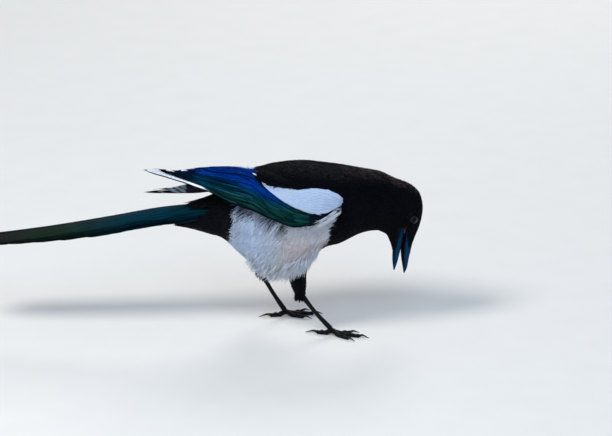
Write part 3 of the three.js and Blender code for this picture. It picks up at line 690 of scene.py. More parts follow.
# A few tips on the top of the nape and mantle are brown: partly wear, partly a painted sheen of light on top
nape = ramp(x, 40, 30) * ramp(np.cos(q), 0.85, 0.12) * (draw.uniform(0, 1, len(p)) < 0.22)
mantle = ramp(x, -20, 30) * ramp(np.cos(q), 0.75, 0.2) * (draw.uniform(0, 1, len(p)) < 0.06)
worn_and_sheen = np.clip(nape + mantle * 0.3, 0, 1)
root_colour_and_shade = shared(rump * 0.8, BLACK, DOWN_GREY)
tip_colour_and_shade = shared(worn_and_sheen, root_colour_and_shade, WORN_AND_SHEEN_BROWN)
blacks = np.flatnonzero((white <= 0.5) & ~under_wing)
for k, part in enumerate(np.array_split(blacks[np.argsort(p[blacks])], 3)):
    tufts(f"coat_body_{k + 1}", on_body, p[part], q[part], black_plumage, "plumage_black", root_colour_and_shade[part],
          length=size[part] * 4.2, width=size[part] * 0.8, low=-depth[part] * 0.9,
          high=0.1 + 0.3 * worn_and_sheen[part], splay=0.09, veer=0.25 * np.sin(q[part]), thick=0.2, seed=21 + k,
          tip_colours=tip_colour_and_shade[part])


def lock_heights(run, shift, count):
    """The belly's locks: a height for each, drawn once, and smooth from one lock to the next as they fall."""
    return np.interp(fall / run + shift, np.arange(count), draw.uniform(0, 1, count))


# The white belly hangs in long, fine, silky barbs. They part into locks that run down and back and show
# blue-grey between them, grey down with painted shade on it, bluer towards the vent as a painted sky-lit
# shade, and are a little warmer on the side of the breast
whites = np.flatnonzero((white > 0.5) & ~under_wing)
sag = ramp(z, 84, -28)
fall = z * 0.6 - x * 0.8 + 2.2 * np.sin(z / 8)
locks = 0.55 * lock_heights(3.4, 60, 140) + 0.45 * lock_heights(0.9, 160, 400)
# The white turns blue towards the vent, a painted sky-lit shade.
white_and_sky_shade = shared(ramp(x, -6, -24), WHITE, SKY_SHADED_WHITE)
white_and_sky_shade = shared(ramp(x, -18, 20) * ramp(z, 112, -14), white_and_sky_shade, (0.78, 0.71, 0.75))
# Where a lock lies low, its roots and tips take the blue-grey and its tone is darker: painted shade in the
# partings.
root_colour_and_shade = shared(np.clip(1.1 - 1.6 * locks, 0, 1), white_and_sky_shade, SHADE_GREY)
tip_colour_and_shade = shared(np.clip(0.8 - 1.6 * locks, 0, 1), white_and_sky_shade, SHADE_GREY)
under_bend = ramp(x, 2, 8) * ramp(z, 102, 6)
lifted = -0.1 + 0.5 * sag + 0.8 * locks - 1.5 * under_bend
for k, part in enumerate(np.array_split(whites[np.argsort(p[whites])], 3)):
    tufts(f"coat_belly_{k + 1}", on_body, p[part], q[part], white_plumage, "plumage_white", root_colour_and_shade[part],
          length=size[part] * (7 + 1.6 * sag[part]), width=size[part] * 0.4, low=-depth[part] * 0.9,
          high=lifted[part], strands=3, splay=0.045, thick=0.14, seed=31 + k,
          veer=0.92 * np.sin(q[part]) + draw.normal(0, 0.03, len(part)), tip_colours=tip_colour_and_shade[part],
          tones=locks[part])

# Long loose hairs: stiff black bristles that lie forward over the nostrils, and soft white wisps that hang
# from the belly over the legs and lie over the black at the vent. Each is one tapered hair from its root to
# its tip.


def hairs(name, starts, ends, size, bows, finish, slot, colour, seed):
    """Tapered hairs from start to end, each bowed by so much on the way."""
    draw = np.random.default_rng(seed)
    s = np.array([0, 0.35, 0.7, 1.0])
    count = len(starts)
    way = ends - starts
    bowed = np.sin(np.pi * s ** 0.8)[None, :, None]
    line = starts[:, None] + way[:, None] * s[None, :, None] + bows[:, None] * bowed
    level = unit(np.cross(way, [0.0, 0.0, 1.0]) + [1e-4, 1e-4, 0])
    other = unit(np.cross(way, level))
    wide = size[:, None, None] * np.array([1, 0.85, 0.55])[None, :, None]
    points = np.zeros((count, BARB_POINTS, 3))
    for k, square in enumerate([-level, other, level, -other]):
        points[:, [k, k + 4, k + 8]] = line[:, :3] + wide * square[:, None]
    points[:, -1] = line[:, 3]
    faces = BARB_FACES[None, :, ::-1] + (np.arange(count) * BARB_POINTS)[:, None, None]
    side_on = starts[:, [0, 2]]
    home = (side_on - side_on.min(0)) / (np.ptp(side_on, axis=0) + 1e-6) * 0.95 + 0.02
    patch = [np.tile([-1, 0, 1, 0], 4)[:BARB_POINTS], np.repeat([-1, 0, 1, 1], BARB_RINGS)]
    patch = np.column_stack(patch) * 0.0015
    flat = np.repeat(home, BARB_POINTS, axis=0) + np.tile(patch, (count, 1))
    tone = np.repeat(draw.uniform(0, 1, count), BARB_POINTS)
    numbers = {"tone": tone, "tip": np.tile(np.repeat(s, BARB_RINGS), count)}
    colours = np.tile(colour, (count * BARB_POINTS, 1))
    points = head_turned(points.reshape(-1, 3))
    mesh = array_mesh(name, points, faces.reshape(-1, 3), {"OFBake": flat}, numbers, colours)
    return shown(name, mesh, finish, slot)


def either_side(count):
    return np.where(draw.uniform(0, 1, count) > 0.5, 1.0, -1.0)


def outward_at(p, q):
    return on_plain_body(p, q, 1.0) - on_plain_body(p, q, 0.0)


draw = np.random.default_rng(41)
count = 560
row = draw.uniform(-0.2, 2.9, count)
side = either_side(count)
starts = np.column_stack([
    102.2 - row, side * (0.4 + row * 2.4), 90.5 - row * 0.5 + draw.normal(0, 2.2, count),
])
ends = np.column_stack([
    100.1 - row * 1.1, side * (0.3 + row * 1.9), 70 + row * 3.4 + draw.normal(0, 2.2, count),
])
bows = draw.uniform(0.2, 0.9, count)[:, None] * [1.0, 0, 0]
hairs("nostril_bristles", starts, ends, draw.uniform(0.16, 0.34, count), bows, black_plumage, "plumage_black",
      BLACK, 43)

count = 1500
p = draw.uniform(24, 88, count)
q = np.pi + draw.normal(0, 0.55, count)
starts = on_plain_body(p, q, -1.0)
outwards = outward_at(p, q)
reach = draw.uniform(5, 12.5, count) * np.interp(p, [24, 50], [0.55, 1])
drop = unit(np.column_stack([
    -draw.uniform(0.2, 0.8, count), np.sign(starts[:, 1]) * draw.normal(0.05, 0.12, count),
    -draw.uniform(0.3, 0.8, count),
]))
hairs("belly_wisps", starts, starts + drop * reach[:, None] + outwards, draw.uniform(0.18, 0.4, count),
      outwards * draw.uniform(0.3, 1.6, count)[:, None], white_plumage, "plumage_white", WHITE, 44)

# Locks that hang over the tops of the shanks
count = 900
side = either_side(count)
p = np.where(side > 0, 50, 72) + draw.normal(0, 6.5, count)
q = side * np.clip(draw.normal(2.42, 0.13, count), 2.15, 2.8)
starts = on_plain_body(p, q, -1.2)
ends = starts + np.column_stack([
    -draw.uniform(1, 7, count), side * draw.uniform(1.0, 3.5, count), -draw.uniform(7, 14, count),
])
hairs("shank_wisps", starts, ends, draw.uniform(0.2, 0.42, count), np.outer(side, [0, 1.6, 0]), white_plumage,
      "plumage_white", WHITE, 46)

# White wisps over the black at the vent, tinted blue as a painted sky-lit shade, and dark lines as hairs, a
# painted shadow where the flank's locks part under the wing and at the vent
count = 1000
p = draw.uniform(19, 30, count)
q = np.pi + either_side(count) * draw.uniform(0.9, 1.9, count)
starts = on_plain_body(p, q, -1.0)
ends = on_plain_body(p - draw.uniform(4, 9, count), q + draw.uniform(0.2, 0.5, count) * np.sin(q), 1.0)
hairs("vent_wisps", starts, ends, draw.uniform(0.2, 0.42, count), outward_at(p, q) * 0.8, white_plumage,
      "plumage_white", SKY_SHADED_WHITE, 45)
count = 240
side = either_side(count)
vent = draw.uniform(0, 1, count) < 0.5
p = np.where(vent, draw.uniform(17, 29, count), draw.uniform(33, 60, count))
vent_q = draw.uniform(1.05, 1.45, count)
wing_q = np.interp(p, [32, 60], [1.3, 1.47]) + draw.uniform(-0.05, 0.12, count)
q = np.where(vent, vent_q, wing_q)
starts = on_plain_body(p, side * q, 0.4)
ends = on_plain_body(p - draw.uniform(6, 10, count), side * (q + draw.uniform(0.08, 0.2, count)), 0.9)
hairs("flank_painted_shadows", starts, ends, draw.uniform(0.08, 0.2, count), (ends - starts) * 0.02 + [0, 0, 0.3],
      black_plumage, "plumage_black", (0.04, 0.05, 0.08), 47)

# Wings, folded. Every large feather is a thin vane with a raised shaft, cobalt above and green below where
# it shows, and white on the hidden web of the primaries. Each lies on one curved sheet, dips under the
# feather above it and grows from the arm, whose small coverts sweep back in long narrow lines. A row of a
# wing's line says how far back it is, how far out and how high its middle line runs there, how it leans in
# degrees, and how it is rounded.
SHOULDER_X = 38
WING_LINES = {
    "right": [
        (-4, 29, 134, 24, 36), (40, 38.5, 128.5, 22, 42), (84, 27.5, 140.5, 35, 46),
        (114, 20.5, 145.2, 41, 50), (141, 15, 147.7, 45, 60), (184, 12, 154.2, 45, 90),
    ],
    "left": [
        (-4, 29, 134, 24, 36), (40, 38.5, 128.5, 22, 42), (84, 29.5, 131.5, 36, 46),
        (114, 19, 130.6, 40, 50), (141, 9.5, 128.8, 36, 60), (184, 3, 127.4, 34, 90),
    ],
}


def wing_sheet(name):
    """A wing's sheet: a place from the shoulder back, up from its middle line, and away from the body."""
    line = curve_through(WING_LINES[name])
    side = 1 if name == "left" else -1

    def on_wing(along, across, out=0.0):
        along, across, out = np.broadcast_arrays(np.asarray(along, float), across, out)
        y, z, lean, rounding = np.moveaxis(line(along), -1, 0)
        tilt, turn = np.radians(lean), across / rounding
        climb = (rounding + out) * np.sin(turn)
        away = (rounding + out) * np.cos(turn) - rounding
        return np.stack([SHOULDER_X - along, side * (y - np.sin(tilt) * climb + np.cos(tilt) * away),
                         z + np.cos(tilt) * climb + np.sin(tilt) * away], -1)

    return on_wing


def vane(sheet, root, tip, width, out, *, dip, thick=0.35, point, bow=0.0, rise=0.0, shaft=-0.25, rows,
         columns=9, notch=0.012, lean=0.5, line=None, roof=None, seed):
    """A feather on a sheet. Its lower edge, from root to tip or on a line, shows, and the rest dips under."""
    draw = np.random.default_rng(seed)
    tip_rows, sweep = 12, 0.12
    blade = np.linspace(0, 1 - point, rows - tip_rows, endpoint=False)
    s = np.concatenate([blade, 1 - point * (1 - np.linspace(0, 1, tip_rows) ** 0.75)])
    v = np.linspace(-1, 1, columns)[None]
    length = tip[0] - root[0]
    if line is None:
        edge = root[1] + (tip[1] - root[1]) * s + bow * 4 * s * (1 - s)
    else:
        edge = line(root[0] + length * s)
    edge, s = edge[:, None], s[:, None]
    past = np.clip((s - 1 + point) / point, 0, 1)
    full = np.minimum(1, 0.5 + s * 2.5) * np.maximum(0.03, np.sqrt(1 - past ** 2.2))
    across = edge + width * (lean + (0.5 - lean) * full + 0.5 * full * v)
    across = across + draw.normal(0, notch, across.shape) * width * np.abs(v) ** 3
    along = root[0] + length * s - sweep * width * 0.5 * np.abs(v - shaft) * (1 - past * 0.5)
    if roof is not None:
        top = roof(along)
        across = np.where(across > top, top + (across - top) * 0.03, across)
    ridge = np.exp(-((v - shaft) / 0.1) ** 2) * thick * 0.8 * (1 - s)
    level = out + rise * s - dip * (across - edge) + ridge - 0.12 * v ** 2
    depth = thick * (1 - 0.4 * s) * (1 - 0.75 * v ** 2) + 0.05
    points = np.concatenate([sheet(along, across, high).reshape(-1, 3) for high in (level, level - depth)])
    # Both faces of the vane, and then the narrow faces round its border
    total = s.size * columns
    r, c = np.meshgrid(np.arange(s.size - 1), np.arange(columns - 1), indexing="ij")
    a = (r * columns + c).ravel()
    b, d, e = a + 1, a + columns, a + columns + 1
    faces = [np.stack([a, d, e], 1), np.stack([a, e, b], 1)]
    faces += [np.stack([a, e, d], 1) + total, np.stack([a, b, e], 1) + total]
    first = np.arange(columns - 1)
    left = np.arange(s.size - 1) * columns
    borders = [
        (first, 1, False), (first + (s.size - 1) * columns, 1, True),
        (left, columns, True), (left + columns - 1, columns, False),
    ]
    for one, step, swap in borders:
        two = one + step
        pair = [np.stack([one, two, two + total], 1), np.stack([one, two + total, one + total], 1)]
        faces += [f[:, ::-1] for f in pair] if swap else pair
    faces = np.concatenate(faces)
    centred = points - points.mean(0)
    corners = [centred[faces[:, k]] for k in range(3)]
    if np.einsum("ij,ij->i", corners[0], np.cross(corners[1], corners[2])).sum() < 0:
        faces = faces[:, ::-1]
    told = {"s": s + 0 * v, "v": v + 0 * s, "along": along, "across": across, "inward": across - edge}
    made = {key: np.tile(value.ravel(), 2) for key, value in told.items()}
    made["grain"] = np.column_stack([(made["v"] - shaft) * width * 0.5, made["s"] * length])
    made.update(points=points, faces=faces, under=np.repeat([False, True], total))
    return made


def feather_piece(name, feathers, finish, slot, *nodes):
    """Joins feathers, each a vane and its colouring, to one piece, each on a strip of its own on the map."""
    draw = np.random.default_rng(len(feathers))
    parts = {"points": [], "faces": [], "flat": [], "grain": [], "tone": [], "tip": [], "dye": []}
    base = 0
    for k, (made, colouring) in enumerate(feathers):
        count = len(made["points"])
        parts["points"].append(made["points"])
        parts["faces"].append(made["faces"] + base)
        base += count
        column = (k + 0.05 + 0.9 * (made["v"] * 0.22 + 0.25 + 0.5 * made["under"])) / len(feathers)
        parts["flat"].append(np.column_stack([column, made["s"] * 0.96 + 0.02]))
        parts["grain"].append(made["grain"])
        parts["tone"].append(np.full(count, draw.uniform(0, 1)))
        parts["tip"].append(made["s"])
        parts["dye"].append(colouring(made))
    whole = {key: np.concatenate(value) for key, value in parts.items()}
    maps = {"OFBake": whole["flat"], "grain": whole["grain"]}
    numbers = {"tone": whole["tone"], "tip": whole["tip"]}
    mesh = array_mesh(name, whole["points"], whole["faces"], maps, numbers, whole["dye"])
    return shown(name, mesh, finish, slot, *nodes)


def vane_finish(name, roughness, metal, depth, **settings):
    """A vane: fine barbs that slant from a dark glossy shaft to the edges, and a lustre in streaks."""
    finish, where, sockets = new_finish(name, Roughness=roughness, Metallic=metal, **settings)
    dye, tone = where.attribute("dye", 0), where.attribute("tone")
    grain = where.made("ShaderNodeUVMap", {"uv_map": "grain"}, {})
    across, along = grain.axis(0), grain.axis(1)
    slant = along - abs(across) * 0.9
    barbs = where.sum("SINE", (slant + where.noise(130) * 1.6) * 9.5)
    split = where.made("ShaderNodeCombineXYZ", {}, {0: across * 0.12, 1: slant * 0.9, 2: tone * 40})
    clumps = split.noise(1.0)
    long_way = where.made("ShaderNodeCombineXYZ", {}, {0: across * 1.6, 1: along * 0.05, 2: tone * 60})
    streaks = long_way.noise(1.0)
    shaft = (1 - abs(across) * 2.2).kept()
    lustre = ((clumps - 0.5) * 0.8 + (streaks - 0.5) * 4.4 + (tone - 0.5) * 1.1 + 0.5).kept()
    pale = where.made("ShaderNodeSeparateColor", {}, {0: dye}, 0)
    base = (lustre * depth * (1 - pale * 1.15).kept()).between(dye, (0.0, 0.0, 0.0))
    base = (shaft * 0.6 * (1 - pale).kept()).between(base, (0.003, 0.003, 0.004))
    joined(base, sockets["Base Color"])
    joined((roughness + (clumps - 0.5) * 0.3 + barbs * 0.03).kept(), sockets["Roughness"])
    joined((barbs * 0.35 + clumps * 2 + shaft).bumped(0.35, 0.00025), sockets["Normal"])
    return finish


wing_finish = vane_finish(
    "wing_vanes", 0.42, 0.5, 0.85, Specular_IOR_Level=0.08, Specular_Tint=(0.12, 0.3, 0.75, 1))

COBALT = (0.0, 0.036, 0.28)
DEEP_BLUE = (0.001, 0.035, 0.14)
TEAL = (0.001, 0.048, 0.10)
GREEN = (0.008, 0.07, 0.066)
WEB_BLACK = (0.001, 0.002, 0.005)


def border(*points):
    """A line over the wing's sheet, as its height at each place along."""
    places, heights = np.array(points, float).T
    return lambda along: np.interp(along, places, heights)


# On the folded wing, seen on its sheet: its lower and upper edges, the lower border of the bright blue, and
# the upper border of the white stripe that the outermost primary shows
lower_edge = border(
    (-3, -9), (3, -11.5), (7.5, -12.5), (11, -14.8), (15.5, -17.2), (21.5, -19), (32, -18.6), (47, -20),
    (55, -19.5), (68.5, -19.2), (86.5, -18.2), (100, -16.6), (108.5, -14.2), (119.5, -10), (130, -8),
    (142.5, -5), (150.5, -3.8), (158, -2.5), (164, -1.8), (173, -0.5), (179, 0.9),
)
upper_edge = border(
    (40, 14), (60, 18), (78, 21.6), (92, 21), (101, 19.5), (109, 17.4), (119, 14.8), (128, 12.6), (137, 9.6),
    (143, 8), (150, 6), (157, 5.6), (166, 4.6), (173, 3.4), (179, 1.2),
)
blue_border = border(
    (40, 2), (67.5, 0), (78.5, 0.5), (87.5, 2.2), (101, 4.2), (114.5, 5.8), (125.5, 6.2), (150, 7),
)
stripe_top = border(
    (60, -12), (100, -9), (121, -7.4), (128, -5), (137, -2.8), (146, -1), (155, 1), (164, 3.2), (172, 4),
)

def wing_gloss(made, dark_edge=0.9):
    """Cobalt above, teal and green below, black at the lowest edge and tip, with a dark line on each edge."""
    along, across = made["along"], made["across"]
    over = across - blue_border(along)
    clear = across - lower_edge(along)
    colour = shared(np.clip((over + 9) / 6 + (along - 62) / 60, 0, 1), GREEN, TEAL)
    colour = shared(ramp(over, -4, 3), colour, DEEP_BLUE)
    colour = shared(ramp(over, -1, 2.4), colour, COBALT)
    colour = shared(ramp(along, 126, 16) * 0.75, colour, WEB_BLACK)
    colour = shared(np.clip(1.15 - clear / 3.6, 0, 1) * 0.9, colour, WEB_BLACK)
    edge = np.clip(1.3 - made["inward"] / 0.8, 0, 1) * ramp(made["s"], 0.05, 0.15) * dark_edge
    edge = edge * np.where(over > 1, 0.35, 1)
    edge = np.maximum(edge, ramp(made["s"], 0.95, 0.05) * 0.6)
    colour = shared(edge, colour, WEB_BLACK)
    # From below the webs are dull black, and the primaries show white bars between their dark edges
    bars = along - 0.88 * across
    white = ramp(bars, 133.5, 0.8) * ramp(bars, 153, -0.8) * ramp(along, 140, 1)
    for line in (140.4, 146.9):
        white = white * ramp(np.abs(bars - line), 0.8, 0.5)
    white = np.maximum(white, ramp(np.abs(bars - 162), 1.8, -0.8) * ramp(across, 2.6, -0.5))
    below = shared(white * ramp(clear, 0.4, 0.4), WEB_BLACK, WHITE)
    return np.where(made["under"][:, None], below, colour)


def stripe_colour(made):
    """The outermost primary: a thin blue-black outer web, and a white inner web that shows as a stripe."""
    along = made["along"]
    white = ramp(made["inward"], 0.9, 0.25) * ramp(along, 176, -1.5) * ramp(along, 117, 3)
    return shared(white * ~made["under"], wing_gloss(made), WHITE)


def sliver_colour(made):
    """A primary with a bit of white inner web left open between the tips of the two above it."""
    along = made["along"]
    open_web = ((along > 149.5) & (along < 157.5)) | ((along > 136) & (along < 144))
    white = ramp(upper_edge(along) - made["across"], 1.5, -0.3) * open_web
    return shared(white * ~made["under"], wing_gloss(made, 0.5), WHITE)


arm_line = curve_through([
    (-3, -1, 5, 2.5, 3.6), (4, -1, 8.5, 6.4, 6.9), (15, -1.5, 13, 8, 7.6), (40, -2.6, 16.4, 8, 7.8),
    (60, -0.5, 16.5, 6, 6.4), (76, 3, 13, 3, 4.4),
])
patch_top = border(
    (-2, -5.5), (1, -3), (6.5, 1), (13, 5.8), (20, 9.3), (29, 11.5), (38, 10.9), (47, 10.7), (56, 9.2),
    (65, 7.2), (74, 6.8),
)
patch_low = border(
    (-2, -6), (0.5, -6), (2, -9), (4, -10.4), (11, -11), (20, -10), (29, -7), (38, -3.5), (47, -0.8),
    (56, 1.8), (65, 4.8), (74, 8.2),
)

for name in ("right", "left"):
    sheet = wing_sheet(name)
    turn = circle(24)
    rings = []
    for at in np.linspace(-2, 76, 20):
        middle, half, thick, low = arm_line(at)
        lift = np.sign(np.cos(turn)) * np.abs(np.cos(turn)) ** 0.75
        out = -low + 0.5 + (thick - 1.4) * (1 + lift) / 2
        rings.append(sheet(np.full(24, at), middle + (half - 0.6) * np.sin(turn), out))
    arm = piece(f"arm_{name}", drawn_through(rings), skin_finish, "wing_blue", f"wing_{name}")
    coloured_and_shaded(arm.data, np.tile(WEB_BLACK, (len(arm.data.vertices), 1)))

    # Flight feathers, from the lowest and longest to the innermost and shortest, which lies on top
    made = vane(sheet, (62, 0), (178.5, 0), 6, -1.9, dip=0.15, point=0.12, lean=0.3, line=lower_edge,
                roof=upper_edge, rows=84, columns=21, shaft=-0.62, notch=0, seed=1)
    feathers = [(made, stripe_colour)]
    for k, reach in enumerate([170, 161, 153, 147, 142, 137]):
        def blade_line(along, k=k):
            low, high = stripe_top(along), upper_edge(along)
            return low + (high - low) * (0.17 * k) + 0.3 * k

        made = vane(sheet, (60, 0), (reach, 0), 8, -1.3 + 0.25 * k, dip=0.18, point=0.12, lean=0.75,
                    line=blade_line, roof=upper_edge, rows=80, columns=15, shaft=-0.6, notch=0.004,
                    seed=k + 2)
        feathers.append((made, sliver_colour if k in (1, 3) else wing_gloss))
    for k, share in enumerate(np.linspace(0, 0.86, 14)):
        def web_line(along, share=share):
            low = lower_edge(along) + 0.3
            return low + (upper_edge(along) - low) * share

        reach = np.interp(share, [0, 0.35, 0.6, 1], [128, 138, 132, 112])
        made = vane(sheet, (44 + 18 * share, 0), (reach, 0), 8.5 - 2 * share, -0.7 + 0.09 * k,
                    dip=0.2 - 0.14 * share, point=0.28, lean=0.6, line=web_line, roof=upper_edge, rows=40,
                    columns=11, seed=k + 20)
        feathers.append((made, wing_gloss))
    feather_piece(f"flight_feathers_{name}", feathers, wing_finish, "wing_blue")

    # Coverts and the alula, in long lines that sweep back between the wing's lower edge and the white patch
    feathers = []
    draw = np.random.default_rng(19)
    for row, start in enumerate((52, 40, 28, 16, 5, -1)):
        for share in np.linspace(0, 1, 10 if row == 0 else 6)[:None if row < 3 else -1] + 0.04 * (row % 2):
            def sweep_line(along, share=share):
                low, high = lower_edge(along) + 0.4, patch_low(along)
                high = np.where(along > 60, np.maximum(high, upper_edge(along) * ramp(along, 60, 20)), high)
                return low + (high - low) * share

            begin = max(start + draw.uniform(-3, 3), 1.5 + 3 * share)
            end = begin + 40 + draw.uniform(-5, 5)
            made = vane(sheet, (begin, 0), (end, 0), 5.2, 0.5 + 0.12 * row, dip=0.14, point=0.5, rise=0.35,
                        rows=24, line=sweep_line, roof=upper_edge, shaft=-0.2,
                        seed=120 + row * 10 + int(share * 12))
            feathers.append((made, wing_gloss))
    feather_piece(f"wing_coverts_{name}", feathers, wing_finish, "wing_blue")

# Shoulder feathers: the long white patch, and over its upper edge the black ones that run back from the
# mantle. They are soft, round-tipped and loosely webbed, and lie over the wing like tiles, the front ones
# on top. Towards the back and the breast they sink into the body's own coat.
scapular_finish = vane_finish("shoulder_vanes", 0.8, 0.0, 0.1, Specular_IOR_Level=0.15)
lobe_finish = vane_finish("mantle_vanes", 0.55, 0.0, 0.5, Specular_IOR_Level=0.05)
body_places = np.linspace(BODY_START, 140, 195)
body_tops = body_line(body_places)[:, 0]


def laid(sheet):
    """The same sheet, but lifted on to the body where it would sink in, and let down over the back."""
    def on_laid(along, across, out=0.0):
        along, across, out = np.broadcast_arrays(np.asarray(along, float), across, out)
        points = sheet(along, across)
        x, y, z = np.moveaxis(points, -1, 0)
        here = body_line(np.interp(x, body_tops, body_places))
        _, top_z, _, low_z, half, upper = np.moveaxis(here, -1, 0)
        middle, tall = (top_z + low_z) / 2, (top_z - low_z) / 2
        high = (z - middle) / tall
        power = squareness(high, upper)
        swell = (np.abs(y / half) ** power + np.abs(high) ** power) ** (1 / power)
        under = np.stack([x, y / swell, middle + (z - middle) / swell], -1)
        height = np.linalg.norm(points - under, axis=-1) * np.sign(swell - 1)
        lifted = (height + np.sqrt(height ** 2 + 1)) / 2 * np.interp(across, [22, 38], [1, 0.2])
        lifted = lifted * np.maximum(np.interp(along, [-6, 34], [0, 1]), np.interp(across, [8, 16], [1, 0]))
        outward = unit(np.stack([0 * x, y, z - middle], -1))
        over_back = np.interp(across, [18, 32], [0, 1])
        return under + outward * (lifted + out * (1 - 0.7 * over_back) - 3.2 * over_back)[..., None]
    return on_laid


# The white patch's colour is painted blue-grey, a painted sky-lit shade, and darker towards the roots.
def sky_shaded_white_vane(made):
    return shared(np.clip(1 - made["s"] * 2.5, 0, 1) * 0.5, (0.45, 0.57, 0.8), (0.36, 0.46, 0.64))


def black_vane(made):
    return np.tile(BLACK, (len(made["s"]), 1))


for name in ("right", "left"):
    sheet = laid(wing_sheet(name))
    draw = np.random.default_rng(7)
    feathers = []
    for row, start in enumerate(np.arange(46, 0, -5.0)):
        for share in np.linspace(0, 0.86, 7 if start < 40 else 4) + (0.06 if row % 2 else 0):
            begin = start + draw.uniform(-1.5, 1.5)
            end = min(begin + 22 + 0.08 * start, 72.5 - 3 * share)
            width = 7.2 * np.interp(end, [20, 60, 74], [1, 0.9, 0.6])

            def patch_line(along, share=share, width=width):
                low, high = patch_low(along), patch_top(along) + 0.4
                return low + (high - low - width * 0.4) * share

            made = vane(sheet, (begin, 0), (end, 0), width, 1.3 + 0.05 * row, dip=0.05, thick=0.3, point=0.42,
                        rise=0.9, rows=18, columns=7, notch=0.015, line=patch_line, shaft=0.0,
                        seed=row * 10 + int(share * 9))
            feathers.append((made, sky_shaded_white_vane))
    feather_piece(f"shoulder_white_{name}", feathers, scapular_finish, "plumage_white", f"scapulars_{name}")

    # The black ones: vanes for the loose hind edge, which stands off the rump, and tufts over all of them
    def above_patch(along, across, out=0.0, sheet=sheet):
        top = patch_top(along)
        over = across - top
        return sheet(along, top - 0.9 + (over + np.sqrt(over ** 2 + 4)) / 2, out)

    feathers = []
    for row, start in enumerate(np.arange(62, 24, -6.0)):
        for k, high in enumerate(np.linspace(8, 33, 11)):
            begin = start + draw.uniform(-1.5, 1.5)
            hind_edge = float(np.interp(high, [9, 12, 16, 21, 28, 37], [74, 77, 80, 80, 75, 66]))
            end = min(begin + 24, hind_edge + draw.uniform(-1.2, 0.3))
            made = vane(above_patch, (begin, high - 3.5), (end, high - 3.5), 7.0, 0.06 * row - 0.3, dip=0.02,
                        thick=0.3, point=0.45, rise=1.1, rows=18, columns=7, notch=0.02, shaft=0.0,
                        seed=row * 10 + k + 300)
            feathers.append((made, black_vane))
    feather_piece(f"shoulder_black_{name}", feathers, lobe_finish, "plumage_black")
    count = 3400
    across = draw.uniform(-6, 34, count)
    run_back = np.interp(across, [-6, 6, 10, 18, 28, 38], [8, 62, 70, 74, 68, 58])
    along = draw.uniform(-6, 1, count) + draw.uniform(0, 1, count) * run_back
    tufts(f"coat_mantle_{name}", above_patch, along, across, black_plumage, "plumage_black", BLACK, way=1,
          length=9, width=2.2, low=-1.2, high=np.interp(along, [-6, 20, 60], [0.3, 1.6, 2.2]), splay=0.07,
          thick=0.2, seed=91, span=((-10, 90), (-30, 50)))

    # White wisps from the flank lie over the wing's lower front, and two white tips stand at the mantle's
    # hind corner
    wing = wing_sheet(name)
    count = 300
    along = draw.uniform(1, 15, count)
    locks = draw.choice([-2, -1, 0.2, 1.9, 3.4], count)
    across = lower_edge(along) + locks + draw.normal(0, 0.3, count)
    far = draw.uniform(6, 13, count)
    beyond = lower_edge(along + far) + (across - lower_edge(along)) * 1.1 + draw.normal(0, 0.3, count)
    starts = np.concatenate([
        sheet(along, across, 1.4), wing(draw.uniform(80, 82, 24), draw.uniform(21.5, 23, 24), 0.5),
        wing(draw.uniform(75, 77, 14), draw.uniform(15.5, 16.5, 14), 1),
    ])
    ends = np.concatenate([
        sheet(along + far, beyond, draw.uniform(1.8, 2.9, count)),
        wing(draw.uniform(84, 86.5, 24), draw.uniform(22, 23.5, 24), 1.5),
        wing(draw.uniform(79.5, 81.5, 14), draw.uniform(15.5, 17, 14), 2),
    ])
    bows = np.zeros_like(starts)
    bows[:, 1] = 0.5 if name == "left" else -0.5
    hairs(f"wing_wisps_{name}", starts, ends, draw.uniform(0.16, 0.34, len(starts)), bows, white_plumage,
          "plumage_white", WHITE, 95)

    # Dark tips of the foremost coverts, fine as hairs, run forward over the white and under the patch's
    # lower edge
    count = 150
    along = draw.uniform(15, 30, count)
    high = draw.choice([0.12, 0.34, 0.52, 0.74, 0.97], count) + draw.normal(0, 0.02, count)
    far = along - draw.uniform(9, 17, count) - 3 * (high > 0.9)
    starts, ends = [
        sheet(place, lower_edge(place) + (patch_low(place) - lower_edge(place)) * high, out)
        for place, out in ((along, 1.7), (far, 2.5))
    ]
    hairs(f"covert_tips_{name}", starts, ends, draw.uniform(0.25, 0.5, count), np.zeros_like(starts),
          black_plumage, "plumage_black", (0.002, 0.012, 0.02), 96)

# Tail: twelve long feathers in six steps, the central pair longest and on top, green with olive and bronze
# ends. They lie shut in a low arch between the upper and lower coverts, the outer ones' edges showing as
# fine steps.
TAIL_ROOT_X = -70
TAIL_LENGTH = 238
tail_line = curve_through([
    (0, 116, 24), (20, 116.6, 25), (38, 115, 28), (56, 112.6, 32), (74, 109, 38), (101, 103, 50),
    (137, 95.6, 75), (182, 88.4, 100), (250, 79.8, 120),
])
TAIL_STEPS = [0, 18, 38, 60, 84, 110]
TAIL_GREEN = (0.001, 0.042, 0.068)
TAIL_OLIVE = (0.014, 0.035, 0.020)
TAIL_BRONZE = (0.02, 0.018, 0.018)
TAIL_DARK = (0.002, 0.004, 0.007)
tail_finish = vane_finish(
    "tail_vanes", 0.48, 0.4, 0.8, Specular_IOR_Level=0.04, Specular_Tint=(0.08, 0.3, 0.4, 1))


def tail_colour(made):
    """Blue-green at the base, olive and then bronze further out, with a dark tip and dark or blue edges."""
    along, s, v = made["along"], made["s"], made["v"]
    colour = shared(ramp(along, 85, 60), TAIL_GREEN, TAIL_OLIVE)
    colour = shared(ramp(along, 165, 40), colour, TAIL_BRONZE)
    colour = shared(ramp(s, 0.93, 0.06), colour, TAIL_DARK)
    edge = shared(ramp(made["points"][:, 1], 0, 4), TAIL_DARK, (0.001, 0.035, 0.10))
    colour = shared(ramp(np.abs(v), 0.78, 0.2) * 0.8, colour, edge)
    return shared(made["under"] * 0.75, colour, TAIL_DARK)


